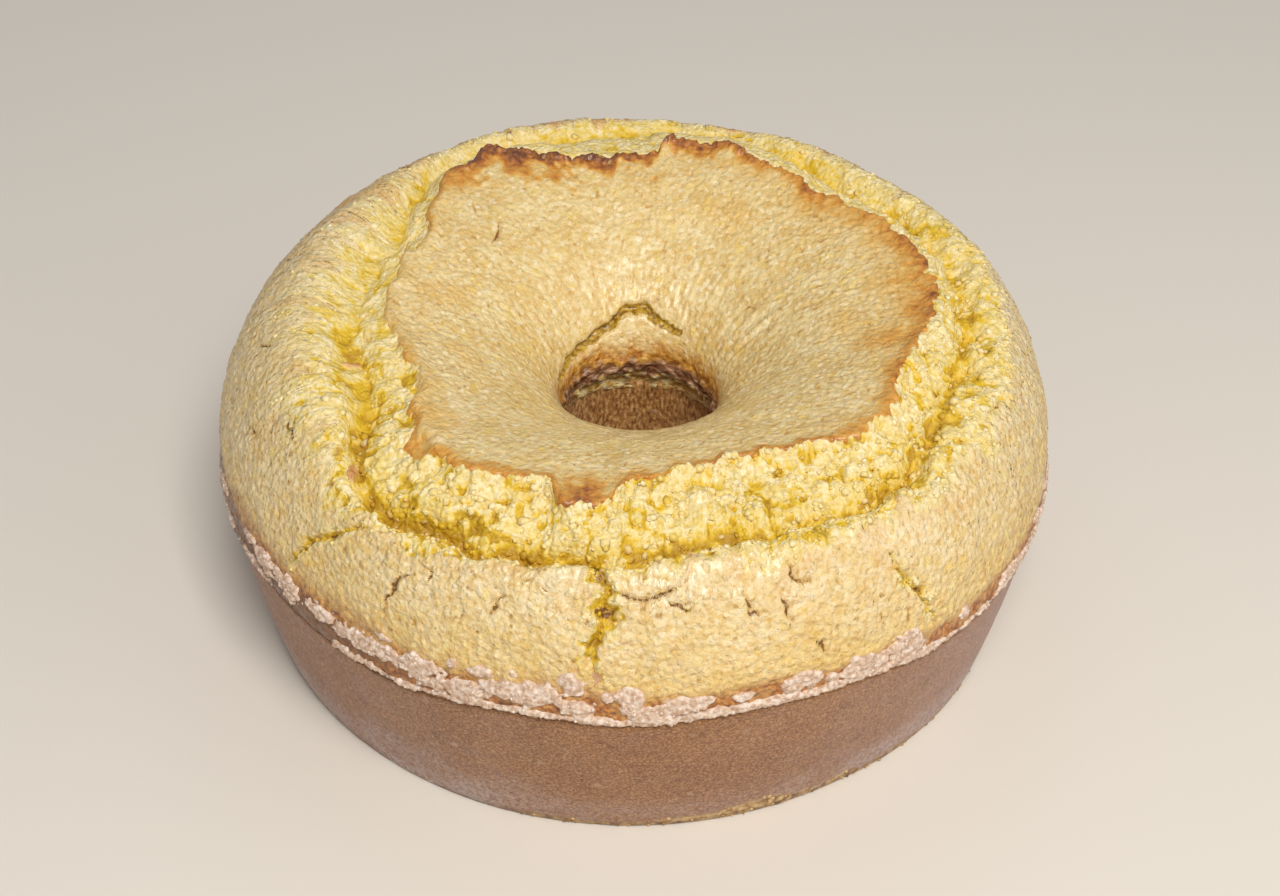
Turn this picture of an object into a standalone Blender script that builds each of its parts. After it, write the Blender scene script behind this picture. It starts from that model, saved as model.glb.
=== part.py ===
"""A ring-shaped cornmeal cake, turned out of its tube pan and standing on its base.

One closed solid: a tapered pan-baked wall, a high domed top that has burst open in a
ring-shaped tear round a browned island of crust, cracks down the dome, a scalloped flour
crust along the pan line, and a funnel that narrows into the hole left by the pan's tube.

Frame: +Z up, metres, origin at the centre of the base. Azimuths are in degrees,
counter-clockwise from +X seen from above; the front of the cake is at 270.
"""

import math
import random

import bmesh
import bpy
import numpy as np

MM = 0.001

# Driving dimensions, in metres
PAN_LINE_RADIUS = 0.1160  # where the top of the batter met the pan's wall
PAN_LINE_HEIGHT = 0.0513
BASE_RADIUS = 0.1034
BASE_ROUNDING = 0.0032
SHOULDER_BULGE = 0.0012  # the pan line and the shoulder above it stand out on one side
SHOULDER_BULGE_AZIMUTH = 185.0
CREST_RADIUS = 0.0880  # the highest ring of the dome
CREST_HEIGHT = 0.0976
THROAT_RADIUS = 0.0220  # the narrowest ring of the hole
THROAT_HEIGHT = 0.0620
FUNNEL_POWERS = (1.8, 0.58)  # how the dome curves down from the crest to the throat
TUBE_TOP_HEIGHT = 0.0520  # where the top of the batter met the pan's tube
HOLE_FOOT_RADIUS = 0.0305
HOLE_FOOT_ROUNDING = 0.0030

# Landmarks of the plain turned shape that wander on the real cake
ISLAND_EDGE = 0.0810
TRENCH = 0.0940
CRUST_EDGE = 0.1005
WANDER_INNER = 0.0400  # inside this radius the shape stays round
WANDER_OUTER = 0.1090
NARROWEST_TEAR = 0.0045

# Where those landmarks lie every 15 degrees, from azimuth 0, in millimetres
ISLAND_EDGE_MM = (
    83, 84, 82.5, 77.5, 80, 84, 76.5, 77, 86, 82, 71, 69,
    68.5, 66, 67, 79, 84, 80, 76, 69, 71.5, 79.5, 77.5, 77,
)
TRENCH_MM = (
    88, 88.5, 89, 87, 89, 95, 93, 90, 94, 89, 79, 77,
    77, 77.5, 81, 97, 97.5, 96.5, 94.5, 91, 92.5, 92.5, 88.5, 88,
)
CRUST_EDGE_MM = (
    100, 100, 99, 97, 97, 101, 100, 98, 100, 97, 93, 92,
    92, 92, 95, 103, 104, 102, 100, 98, 99.5, 101.5, 100, 100,
)
TEAR_DEPTH_SHARE = (0.75, 0.7, 0.65, 0.75, 0.65, 0.8, 1.15, 1.0)  # every 45 degrees

# How much fuller than the base's circle the foot of the wall is, at the same azimuths
FOOT_FULLNESS_MM = (
    1.6, 1.4, 1.2, 1.0, 1.0, 1.0, 1.0, 1.0, 1.2, 1.5, 2.0, 2.5,
    2.9, 3.4, 3.2, 2.2, 1.6, 1.1, 0.5, -0.1, -0.5, 0.5, 1.5, 1.7,
)

# The section of the tear: radius on the plain shape, depth below the dome, in millimetres
TEAR_SECTION = (
    (74.0, 0.0),
    (78.4, -0.6),
    (80.4, -0.2),
    (81.4, 1.0),
    (82.4, 2.4),
    (85.0, 3.8),
    (89.0, 5.6),
    (92.2, 8.0),
    (94.0, 9.6),
    (95.8, 8.0),
    (97.6, 4.6),
    (99.6, 1.8),
    (102.0, 0.2),
    (105.0, 0.0),
)

# The tongue of brown crust that hangs over the tear at the front
TONGUE_AZIMUTH = 261.0
TONGUE_HALF_WIDTH = 5.6
TONGUE_REACH = 0.0085

# Cracks down the dome: points of (azimuth, millimetres up the dome from the pan line),
# then the half width and the depth at the middle of the crack, in millimetres
CRACKS = (
    (((265.0, 52), (264.2, 45), (265.8, 38), (265.0, 34), (266.4, 29), (265.0, 24), (264.4, 18)), 3.4, 5.0),
    (((266.0, 37), (269.2, 36.3), (271.8, 34.6), (273.4, 35.2), (275.8, 36.8)), 1.6, 2.6),
    (((273.4, 33.6), (275.0, 33), (276.8, 30.8)), 1.1, 1.8),
    (((283.2, 33), (284.2, 30.7), (286.0, 26.4)), 1.1, 1.8),
    (((289.2, 32.8), (289.0, 28), (289.6, 23)), 1.3, 2.2),
    (((290.2, 37.6), (291.6, 34.4), (292.8, 31.6)), 1.5, 2.4),
    (((292.3, 20), (293.0, 17), (294.0, 12.2)), 1.1, 1.8),
    (((305.4, 35), (306.2, 29.4), (306.8, 25), (308.5, 20.7), (310.2, 15.4), (311.2, 9.5)), 2.0, 3.2),
    (((219.0, 13), (220.5, 18), (222.8, 24.6), (225.2, 28.2), (227.5, 35), (230.6, 41)), 1.9, 3.2),
    (((239.8, 32), (238.5, 29.2), (237.0, 25.4), (236.8, 21.6), (236.2, 15.5)), 1.4, 2.3),
    (((240.0, 39), (241.5, 34.6), (241.8, 29)), 1.1, 1.8),
    (((186.0, 55), (191.0, 59)), 1.4, 2.4),
    (((159.0, 62), (153.0, 57), (148.5, 62)), 1.6, 2.8),
    (((20.0, 46), (17.0, 38)), 1.3, 2.2),
    (((78.0, 46), (80.0, 36), (77.0, 26)), 1.8, 3.0),
    (((112.0, 50), (115.0, 40), (114.0, 30)), 1.6, 2.8),
)
# The same for dents in the island: (azimuth, millimetres out from the axis)
ISLAND_DENTS = (
    (((141.0, 57.0), (137.0, 56.5), (132.5, 58.5)), 1.6, 1.2),
    (((34.0, 35.5), (29.0, 36.5)), 1.2, 0.9),
)
# And for the crack inside the funnel: (azimuth, height in millimetres)
THROAT_CRACK = (
    ((166, 66), (144, 67.5), (126, 68.5), (110, 71), (97, 73.5), (86, 74.5), (78, 71.5), (62, 70)),
    1.5,
    3.6,
)
CRACK_RING_RADIUS = 0.1090  # where the cracks' azimuths are turned into lengths
CRACK_WIGGLE = (0.0045, 0.0011)  # size and reach of the waver in the cracks' paths
CRACK_END = 0.06  # share of a crack's length over which its ends close

# Where the torn crumb starts and stops, and where the baked unevenness fades in and out
TORN_INNER = (0.0790, 0.0830)
TORN_OUTER = (0.0970, 0.1010)
UNEVEN_RISE = (0.0, 0.0120)
UNEVEN_RADIUS = (0.0240, 0.0400)
TUBE_FLAKES_HEIGHT = 0.0550
TUBE_FLAKES_FADE = (0.0040, 0.0090)

# Unevenness of the baked surface: size of the lumps and how far they stand, in metres
SWELLS = (0.036, 0.0010)
CLODS = (0.0085, 0.0016)
CRUMBS = (0.0042, 0.0009)
BLISTERS = (0.0065, 0.00035)
EDGE_NOTCHES = (0.0060, 0.0016)
TUBE_FLAKES = (0.0050, 0.0009)
DOME_TILT = 0.0018  # the dome rose higher on one side
DOME_TILT_AZIMUTH = 75.0

# How far the pan line wanders up or down every 15 degrees from azimuth 0, in millimetres
PAN_LINE_WAVE_MM = (
    0, 0.3, 0, -0.3, 0, 0.4, 0, -0.3, 0, 0.3, 0, -0.2,
    0, 0.2, 1.0, -0.3, -1.6, 0.8, 0.2, 3.0, 2.0, -0.8, -0.6, -0.3,
)
PAN_LINE_WAVE_REACH = 0.0140

# The baked flour: a rim along the pan line, half as wide as this every 15 degrees, in
# millimetres, and lobes above it: (azimuth, rise, half length, half height) in millimetres
FLOUR_THICKNESS = 0.0008
FLOUR_RIM_RISE = 0.0010
FLOUR_RIM_MM = (
    1.0, 1.0, 0.8, 0.8, 0.8, 0.8, 0.8, 0.8, 0.8, 0.8, 0.7, 0.7,
    0.6, 0.5, 0.2, 0.2, 0.3, 0.9, 1.1, 1.3, 1.0, 1.3, 1.3, 1.2,
)
FLOUR_LOBES = (
    (209.4, 8.0, 3.2, 2.0), (213.7, 6.8, 5.6, 3.4), (218.5, 6.4, 6.0, 3.8), (226, 8.1, 5.4, 2.8),
    (230.4, 7.7, 3.8, 2.5), (235.5, 8.5, 7.6, 3.4), (243, 7.9, 6.0, 4.0), (248.1, 4.2, 5.4, 3.6),
    (250.8, 12.8, 3.0, 1.3), (256.1, 8.0, 9.2, 4.6), (262.4, 12.4, 3.4, 3.2), (262.6, 5.2, 4.4, 3.0),
    (269.2, 9.5, 3.0, 4.4), (272.1, 3.2, 3.8, 3.0), (276.2, 6.4, 5.2, 2.8), (283.4, 5.8, 2.8, 1.8),
    (291.1, 6.4, 4.6, 4.0), (294.9, 3.6, 1.7, 3.0), (299.6, 4.6, 5.8, 4.2), (306.6, 5.8, 4.6, 4.6),
    (317.1, 5.7, 2.0, 2.0), (266.6, 10.3, 1.2, 1.4), (236.8, 13.2, 2.4, 1.2), (246.8, 13, 1.3, 1.5),
    (231.7, 0.8, 4.8, 1.2), (240.9, 0.6, 3.8, 0.9),
)
HIDDEN_LOBES = (325, 560, 24)  # from and to these azimuths, out of sight, this many more
LOBE_FRAY = (0.0030, 0.30)  # size and strength of the frayed outline

# Fineness of the turned mesh, and of the solid that is kept
NOISE_RING_RADIUS = 0.0900  # noise that only varies round the ring is read on this circle
TURN_STEPS = 360
BASE_ROW_RADIUS = 0.0600
FLANK_ROWS = 24
FUNNEL_ROWS = 40
ROW_SPACING = 0.0016
HOLE_ROW_SPACING = 0.0022
SOLID_TRIANGLES = 11600
GRAIN = 6  # decimals kept of each coordinate in metres


def cell_numbers(cells, seed):
    """A repeatable number from 0 to 1 for each whole-number cell."""
    x, y, z = (cells[..., axis].astype(np.int64) for axis in range(3))
    mixed = (x * 73856093) ^ (y * 19349663) ^ (z * 83492791) ^ (seed * 2654435761)
    mixed = ((mixed ^ (mixed >> 13)) * 1274126177) & 0x7FFFFFFF
    return ((mixed ^ (mixed >> 15)) % 65536) / 65535.0


def lumps(points, size, seed):
    """Smooth noise from -1 to 1 with lumps of about this size."""
    scaled = points / size
    cell = np.floor(scaled)
    part = scaled - cell
    ease = part * part * part * (part * (part * 6 - 15) + 10)
    total = np.zeros(points.shape[:-1])
    for corner in np.ndindex(2, 2, 2):
        share = np.prod(np.where(corner, ease, 1 - ease), axis=-1)
        total += share * cell_numbers(cell + corner, seed)
    return 2 * total - 1


def smooth_step(low, high, value):
    """0 below low, 1 above high, and an even ease between them."""
    part = np.clip((value - low) / (high - low), 0, 1)
    return part * part * (3 - 2 * part)


def spline(points, spacing):
    """Points about this far apart on a smooth curve through the given ones."""
    points = np.array(points, float)
    padded = np.vstack([2 * points[0] - points[1], points, 2 * points[-1] - points[-2]])
    found = []
    for before, start, end, after in zip(padded, padded[1:], padded[2:], padded[3:]):
        count = max(1, round(np.linalg.norm(end - start) / spacing))
        t = np.arange(count)[:, None] / count
        found.append(
            start
            + 0.5 * t * (end - before)
            + t * t * (before - 2.5 * start + 2 * end - 0.5 * after)
            + 0.5 * t**3 * (3 * start - before - 3 * end + after)
        )
    return np.vstack([*found, points[-1:]])


def round_the_ring(values, azimuth):
    """Evenly spaced values round the ring, read smoothly at these azimuths."""
    values = np.array(values, float)
    place = (azimuth % 360) / 360 * len(values)
    index = np.floor(place).astype(int)
    t = place - index
    before, start, end, after = (values[(index + k) % len(values)] for k in (-1, 0, 1, 2))
    slope = 0.5 * (end - before)
    bend = before - 2.5 * start + 2 * end - 0.5 * after
    twist = 0.5 * (3 * start - before - 3 * end + after)
    return start + t * (slope + t * (bend + t * twist))


def dome_height(radius):
    """Height of the unbroken dome, outside and inside its crest."""
    outward = np.clip((radius - CREST_RADIUS) / (PAN_LINE_RADIUS - CREST_RADIUS), 0, 1)
    inward = np.clip((CREST_RADIUS - radius) / (CREST_RADIUS - THROAT_RADIUS), 0, 1)
    outer = (CREST_HEIGHT - PAN_LINE_HEIGHT) * np.sqrt(1 - outward**2)
    power, root = FUNNEL_POWERS
    inner = (CREST_HEIGHT - THROAT_HEIGHT) * (1 - inward**power) ** root
    return np.where(radius > CREST_RADIUS, PAN_LINE_HEIGHT + outer, THROAT_HEIGHT + inner)


def wall_section():
    """The pan-baked wall, from the base up to the pan line."""
    return spline(
        [
            (BASE_RADIUS - BASE_ROUNDING, 0.0),
            (BASE_RADIUS - 0.3 * BASE_ROUNDING, 0.3 * BASE_ROUNDING),
            (BASE_RADIUS, BASE_ROUNDING),
            (BASE_RADIUS + 0.0067, 0.0270),
            (PAN_LINE_RADIUS - 0.0006, PAN_LINE_HEIGHT - 0.0026),
            (PAN_LINE_RADIUS - 0.0009, PAN_LINE_HEIGHT - 0.0012),
            (PAN_LINE_RADIUS, PAN_LINE_HEIGHT),
        ],
        ROW_SPACING,
    )


def flank_section():
    """The outer flank of the dome, from the pan line up to where the tear begins."""
    across = PAN_LINE_RADIUS - CREST_RADIUS
    top = math.acos((TEAR_SECTION[-1][0] * MM - CREST_RADIUS) / across)
    angles = np.linspace(math.radians(3), top, FLANK_ROWS)
    out = CREST_RADIUS + across * np.cos(angles)
    return np.column_stack([out, dome_height(out)])


def tear_section():
    """The tear, from its outer rim over the trench to the rim of the island."""
    section = np.array(TEAR_SECTION[::-1]) * MM
    tear = np.column_stack([section[:, 0], dome_height(section[:, 0]) - section[:, 1]])
    return spline(tear, ROW_SPACING)


def funnel_section():
    """The island's top, from the tear down the funnel to the throat."""
    across = CREST_RADIUS - THROAT_RADIUS
    start = math.acos((CREST_RADIUS - TEAR_SECTION[0][0] * MM) / across)
    angles = np.linspace(start, 0, FUNNEL_ROWS)
    out = CREST_RADIUS - across * np.cos(angles)
    return np.column_stack([out, dome_height(out)])


def hole_section():
    """The hole's wall, from the throat down to the base."""
    return spline(
        [
            (THROAT_RADIUS, THROAT_HEIGHT),
            (THROAT_RADIUS - 0.0004, THROAT_HEIGHT - 0.0030),
            (THROAT_RADIUS + 0.0004, TUBE_TOP_HEIGHT + 0.0040),
            (THROAT_RADIUS + 0.0024, TUBE_TOP_HEIGHT + 0.0012),
            (THROAT_RADIUS + 0.0040, TUBE_TOP_HEIGHT - 0.0020),
            (HOLE_FOOT_RADIUS - 0.0012, 0.0120),
            (HOLE_FOOT_RADIUS, HOLE_FOOT_ROUNDING),
            (HOLE_FOOT_RADIUS + 0.3 * HOLE_FOOT_ROUNDING, 0.3 * HOLE_FOOT_ROUNDING),
            (HOLE_FOOT_RADIUS + HOLE_FOOT_ROUNDING, 0.0),
        ],
        HOLE_ROW_SPACING,
    )


def plain_profile():
    """The closed section of the turned shape, as (radius, height) rows running over the
    base, up the outside and down the hole, and the rows where the dome starts and ends."""
    base = [(BASE_ROW_RADIUS, 0.0)]
    wall = wall_section()
    dome = np.vstack([flank_section(), tear_section()[1:-1], funnel_section()])
    hole = hole_section()[1:]
    rows = np.vstack([base, wall, dome, hole])
    dome_start = len(base) + len(wall)
    return rows, dome_start, dome_start + len(dome)


def wandered_radius(radius, azimuth, ring):
    """The plain shape's landmarks moved to where the island's edge, the trench and the
    outer crust's edge lie on this side of the cake."""
    notch_size, notch_reach = EDGE_NOTCHES
    off_tongue = (azimuth - TONGUE_AZIMUTH) / TONGUE_HALF_WIDTH
    edge = round_the_ring(ISLAND_EDGE_MM, azimuth) * MM
    edge = edge + TONGUE_REACH * np.exp(-(off_tongue**4))
    edge = edge + notch_reach * lumps(ring, notch_size, 11)
    trench = round_the_ring(TRENCH_MM, azimuth) * MM + notch_reach * lumps(ring, notch_size, 12)
    trench = np.maximum(trench, edge + NARROWEST_TEAR)
    crust = round_the_ring(CRUST_EDGE_MM, azimuth) * MM + notch_reach * lumps(ring, notch_size, 13)
    crust = np.maximum(crust, trench + NARROWEST_TEAR)
    plain = (WANDER_INNER, ISLAND_EDGE, TRENCH, CRUST_EDGE, WANDER_OUTER)
    moved = (WANDER_INNER, edge, trench, crust, WANDER_OUTER)
    result = radius.copy()
    for low, high, new_low, new_high in zip(plain, plain[1:], moved, moved[1:]):
        share = (radius - low) / (high - low)
        inside = (radius > low) & (radius <= high)
        result = np.where(inside, new_low + share * (new_high - new_low), result)
    return result


def cleft(crack, azimuth, level, turn_radius, wiggle):
    """How deep one crack cuts at each point, given by its azimuth and its level."""
    path, half_width, deepest = crack
    path = np.array(path, float)
    middle = path[:, 0].mean()
    along = np.radians((azimuth - middle + 180) % 360 - 180) * turn_radius + wiggle
    nodes = np.column_stack([np.radians(path[:, 0] - middle) * turn_radius, path[:, 1] * MM])
    steps = np.linalg.norm(np.diff(nodes, axis=0), axis=1)
    depth = np.zeros(azimuth.shape)
    reached = 0.0
    for start, end, step in zip(nodes, nodes[1:], steps):
        direction = (end - start) / step
        off_along, off_level = along - start[0], level + 0.5 * wiggle - start[1]
        ahead = np.clip(off_along * direction[0] + off_level * direction[1], 0, step)
        aside = np.hypot(off_along - ahead * direction[0], off_level - ahead * direction[1])
        share = np.clip((reached + ahead) / steps.sum(), CRACK_END, 1 - CRACK_END)
        taper = np.sqrt(np.sin(np.pi * share))
        cut = deepest * MM * taper * np.clip(1 - aside / (half_width * MM * taper), 0, 1)
        depth = np.maximum(depth, cut)
        reached += step
    return depth


def crack_depth(azimuth, rise, plain):
    """How deep all the cracks and dents cut at each point of the dome."""
    wiggle = CRACK_WIGGLE[1] * lumps(plain, CRACK_WIGGLE[0], 21)
    radius = np.hypot(plain[..., 0], plain[..., 1])
    depth = np.zeros(azimuth.shape)
    for crack in CRACKS:
        depth = np.maximum(depth, cleft(crack, azimuth, rise, CRACK_RING_RADIUS, wiggle))
    for dent in ISLAND_DENTS:
        middle = dent[0][0][1] * MM
        depth = np.maximum(depth, cleft(dent, azimuth, radius, middle, wiggle))
    throat = cleft(THROAT_CRACK, azimuth, plain[..., 2], THROAT_RADIUS, wiggle)
    return np.maximum(depth, np.where(radius < 0.5 * CREST_RADIUS, throat, 0))


def flour_lobes():
    """The lobes seen from the front, then scattered ones for the rest of the pan line."""
    draw = random.Random(7)
    first, last, count = HIDDEN_LOBES
    hidden = [
        (
            first + (last - first) * (k + draw.uniform(0.2, 0.8)) / count,
            draw.uniform(2.0, 8.0),
            draw.uniform(2.2, 5.2),
            draw.uniform(1.3, 3.4),
        )
        for k in range(count)
    ]
    return [*FLOUR_LOBES, *hidden]


def flour_cover(azimuth, rise, plain):
    """1 under the baked flour and 0 beside it, by the rise from the pan line."""
    fray_size, fray = LOBE_FRAY
    rim = round_the_ring(FLOUR_RIM_MM, azimuth) * MM
    inside = 1 - np.abs(rise - FLOUR_RIM_RISE) / rim
    for lobe_azimuth, lobe_rise, half_length, half_height in flour_lobes():
        along = np.radians((azimuth - lobe_azimuth + 180) % 360 - 180) * PAN_LINE_RADIUS
        across = (rise - lobe_rise * MM) / (half_height * MM)
        inside = np.maximum(inside, 1 - np.hypot(along / (half_length * MM), across))
    return smooth_step(-0.08, 0.12, inside + fray * lumps(plain, fray_size, 31))


def surface_lean(radius):
    """Angle of the dome's normal from upright: outwards beyond the crest, inwards before."""
    outward = np.clip((radius - CREST_RADIUS) / (PAN_LINE_RADIUS - CREST_RADIUS), 0, 1)
    inward = np.clip((CREST_RADIUS - radius) / (CREST_RADIUS - THROAT_RADIUS), 0, 1)
    return np.arcsin(outward) - np.arcsin(inward)


def outer_fullness(azimuth, radius, height, on_wall, on_dome):
    """How far the wall and the shoulder stand out past the plain turned shape."""
    low_on_wall = on_wall * (1 - smooth_step(0.0, PAN_LINE_HEIGHT, height))
    foot = round_the_ring(FOOT_FULLNESS_MM, azimuth) * MM
    near_pan_line = np.where(
        on_dome,
        smooth_step(CREST_RADIUS, PAN_LINE_RADIUS, radius),
        on_wall * smooth_step(0.0, PAN_LINE_HEIGHT, height),
    )
    bulge = SHOULDER_BULGE * np.cos(np.radians(azimuth - SHOULDER_BULGE_AZIMUTH))
    return foot * low_on_wall + bulge * near_pan_line


def baked_points(rows, dome_start, dome_end, azimuth):
    """The baked surface: one point for each azimuth and each row of the profile."""
    turn = np.radians(azimuth)[:, None]
    circle = np.stack([np.cos(turn), np.sin(turn), np.zeros_like(turn)], axis=-1)
    ring = NOISE_RING_RADIUS * circle
    azimuth, radius, height = np.broadcast_arrays(azimuth[:, None], rows[:, 0], rows[:, 1])
    plain = np.stack([radius * np.cos(turn), radius * np.sin(turn), height], axis=-1)
    row = np.arange(len(rows))
    on_dome = (row >= dome_start) & (row < dome_end)
    in_hole = row >= dome_end
    on_wall = row < dome_start
    rise = np.concatenate([[0], np.cumsum(np.linalg.norm(np.diff(rows, axis=0), axis=1))])
    rise = rise - rise[dome_start]

    # Landmarks wander, and the surface keeps to the dome's height there
    moved = np.where(on_dome, wandered_radius(radius, azimuth, ring), radius)
    below_dome = np.where(on_dome, dome_height(radius) - height, 0)
    torn = on_dome * smooth_step(*TORN_INNER, radius) * (1 - smooth_step(*TORN_OUTER, radius))
    depth_share = np.where(torn > 0, round_the_ring(TEAR_DEPTH_SHARE, azimuth), 1.0)
    level = np.where(on_dome, dome_height(moved) - below_dome * depth_share, height)
    fullness = outer_fullness(azimuth, radius, height, on_wall, on_dome)

    # Unevenness along the dome's own normal
    lean = np.where(on_dome, surface_lean(moved), np.where(in_hole, -math.pi / 2, math.pi / 2))
    fade = on_dome * smooth_step(*UNEVEN_RISE, rise) * smooth_step(*UNEVEN_RADIUS, radius)
    relief = fade * SWELLS[1] * lumps(plain, SWELLS[0], 1)
    relief = relief + fade * BLISTERS[1] * lumps(plain, BLISTERS[0], 2)
    relief = relief + torn * CLODS[1] * lumps(plain, CLODS[0], 3)
    relief = relief + torn * CRUMBS[1] * lumps(plain, CRUMBS[0], 4)
    relief = relief - on_dome * crack_depth(azimuth, rise, plain)
    relief = relief + on_dome * FLOUR_THICKNESS * flour_cover(azimuth, rise, plain)
    flaky = 1 - smooth_step(*TUBE_FLAKES_FADE, np.abs(height - TUBE_FLAKES_HEIGHT))
    relief = relief + in_hole * flaky * TUBE_FLAKES[1] * lumps(plain, TUBE_FLAKES[0], 5)
    tilt = DOME_TILT * np.cos(np.radians(azimuth - DOME_TILT_AZIMUTH)) * moved / CREST_RADIUS
    near_pan_line = np.exp(-(((height - PAN_LINE_HEIGHT) / PAN_LINE_WAVE_REACH) ** 2)) * ~in_hole
    wave = round_the_ring(PAN_LINE_WAVE_MM, azimuth) * MM * near_pan_line

    out = moved + fullness + relief * np.sin(lean)
    up = level + relief * np.cos(lean) + tilt * fade + wave
    baked = np.stack([out * np.cos(turn), out * np.sin(turn), up], axis=-1)
    return np.round(baked, GRAIN)


def turned_mesh(rows):
    """The plain section swept round the axis."""
    mesh = bpy.data.meshes.new("section")
    edges = [(i, (i + 1) % len(rows)) for i in range(len(rows))]
    mesh.from_pydata([(r, 0.0, z) for r, z in rows], edges, [])
    section = bpy.data.objects.new("section", mesh)
    bpy.context.scene.collection.objects.link(section)
    screw = section.modifiers.new("turn", "SCREW")
    screw.steps = screw.render_steps = TURN_STEPS
    screw.use_merge_vertices = False
    graph = bpy.context.evaluated_depsgraph_get()
    turned = bpy.data.meshes.new_from_object(section.evaluated_get(graph))
    bpy.data.objects.remove(section)
    return turned


def bake(mesh, rows, dome_start, dome_end):
    """Moves the turned mesh's vertices to the baked surface and faces them outwards."""
    plain = np.array([vertex.co for vertex in mesh.vertices])
    first_row = plain.reshape(TURN_STEPS, len(rows), 3)[:, 0]
    azimuth = np.degrees(np.arctan2(first_row[:, 1], first_row[:, 0])) % 360
    baked = baked_points(rows, dome_start, dome_end, azimuth)
    mesh.vertices.foreach_set("co", baked.astype(np.float32).ravel())
    work = bmesh.new()
    work.from_mesh(mesh)
    bmesh.ops.recalc_face_normals(work, faces=work.faces)
    work.to_mesh(mesh)
    work.free()


def thinned(mesh, name):
    """The mesh with its triangles kept where the shape bends."""
    draft = bpy.data.objects.new("draft", mesh)
    bpy.context.scene.collection.objects.link(draft)
    thin = draft.modifiers.new("thin", "DECIMATE")
    thin.ratio = SOLID_TRIANGLES / (2 * len(mesh.polygons))
    graph = bpy.context.evaluated_depsgraph_get()
    kept = bpy.data.meshes.new_from_object(draft.evaluated_get(graph))
    bpy.data.objects.remove(draft)
    kept.name = name
    return kept


def stand_on_origin(mesh):
    """Flattens the underside and puts the centre of the cake's box over the origin."""
    points = np.array([vertex.co for vertex in mesh.vertices])
    points[points[:, 2] < 0.1 * BASE_ROUNDING, 2] = 0.0
    points[:, :2] -= (points[:, :2].min(axis=0) + points[:, :2].max(axis=0)) / 2
    mesh.vertices.foreach_set("co", np.round(points, GRAIN).astype(np.float32).ravel())


def baked_material():
    """Pale golden baked crust."""
    material = bpy.data.materials.new("baked_crust")
    material.use_nodes = True
    shader = material.node_tree.nodes["Principled BSDF"]
    shader.inputs["Base Color"].default_value = (0.68, 0.45, 0.17, 1.0)
    shader.inputs["Roughness"].default_value = 0.6
    shader.inputs["Metallic"].default_value = 0.0
    return material


def main():
    for obj in list(bpy.data.objects):
        bpy.data.objects.remove(obj, do_unlink=True)
    rows, dome_start, dome_end = plain_profile()
    mesh = turned_mesh(rows)
    bake(mesh, rows, dome_start, dome_end)
    cake = bpy.data.objects.new("cake", thinned(mesh, "cake"))
    stand_on_origin(cake.data)
    cake.data.materials.append(baked_material())
    cake.data.shade_smooth()
    collection = bpy.data.collections.new("cornmeal_cake")
    bpy.context.scene.collection.children.link(collection)
    collection.objects.link(cake)


main()
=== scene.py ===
"""Looks of the ring-shaped cornmeal cake: its crusts, torn crumb, baked flour and pan crust.

Every crust and the crumb is a closed band round the ring, shaped by the same functions and
sizes as the solid. Azimuths are in degrees, counter-clockwise from +X; the front is 270.
Places on the dome are given as the rise: the length along the section from the pan line.
A table that runs round the ring starts at azimuth 0, and its values are evenly spaced.
"""

import math
import random

import bmesh
import bpy
import numpy as np
from mathutils import Matrix, Vector


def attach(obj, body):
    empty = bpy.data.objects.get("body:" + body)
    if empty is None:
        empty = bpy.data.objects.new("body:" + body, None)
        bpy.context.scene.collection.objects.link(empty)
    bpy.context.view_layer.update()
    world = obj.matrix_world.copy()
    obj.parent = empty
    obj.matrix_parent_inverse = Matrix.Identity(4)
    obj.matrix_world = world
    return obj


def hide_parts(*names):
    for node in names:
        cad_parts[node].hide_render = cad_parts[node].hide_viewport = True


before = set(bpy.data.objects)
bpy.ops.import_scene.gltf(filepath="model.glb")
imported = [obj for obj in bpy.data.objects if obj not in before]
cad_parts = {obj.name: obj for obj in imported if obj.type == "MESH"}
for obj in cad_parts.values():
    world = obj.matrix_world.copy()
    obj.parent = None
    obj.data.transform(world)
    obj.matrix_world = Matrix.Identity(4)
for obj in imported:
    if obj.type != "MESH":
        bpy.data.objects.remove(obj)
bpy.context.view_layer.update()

MM = 0.001

# ---------------------------------------------------------------- sizes of the solid, in metres
PAN_LINE_RADIUS = 0.1160
PAN_LINE_HEIGHT = 0.0513
BASE_RADIUS = 0.1034
BASE_ROUNDING = 0.0032
SHOULDER_BULGE = 0.0012
SHOULDER_BULGE_AZIMUTH = 185.0
CREST_RADIUS = 0.0880
CREST_HEIGHT = 0.0976
THROAT_RADIUS = 0.0220
THROAT_HEIGHT = 0.0620
FUNNEL_POWERS = (1.8, 0.58)
TUBE_TOP_HEIGHT = 0.0520
HOLE_FOOT_RADIUS = 0.0305
HOLE_FOOT_ROUNDING = 0.0030
TUBE_BEND_HEIGHT = 0.0120
ISLAND_EDGE = 0.0810
TRENCH = 0.0940
CRUST_EDGE = 0.1005
WANDER_INNER = 0.0400
WANDER_OUTER = 0.1090
NARROWEST_TEAR = 0.0045

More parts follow.
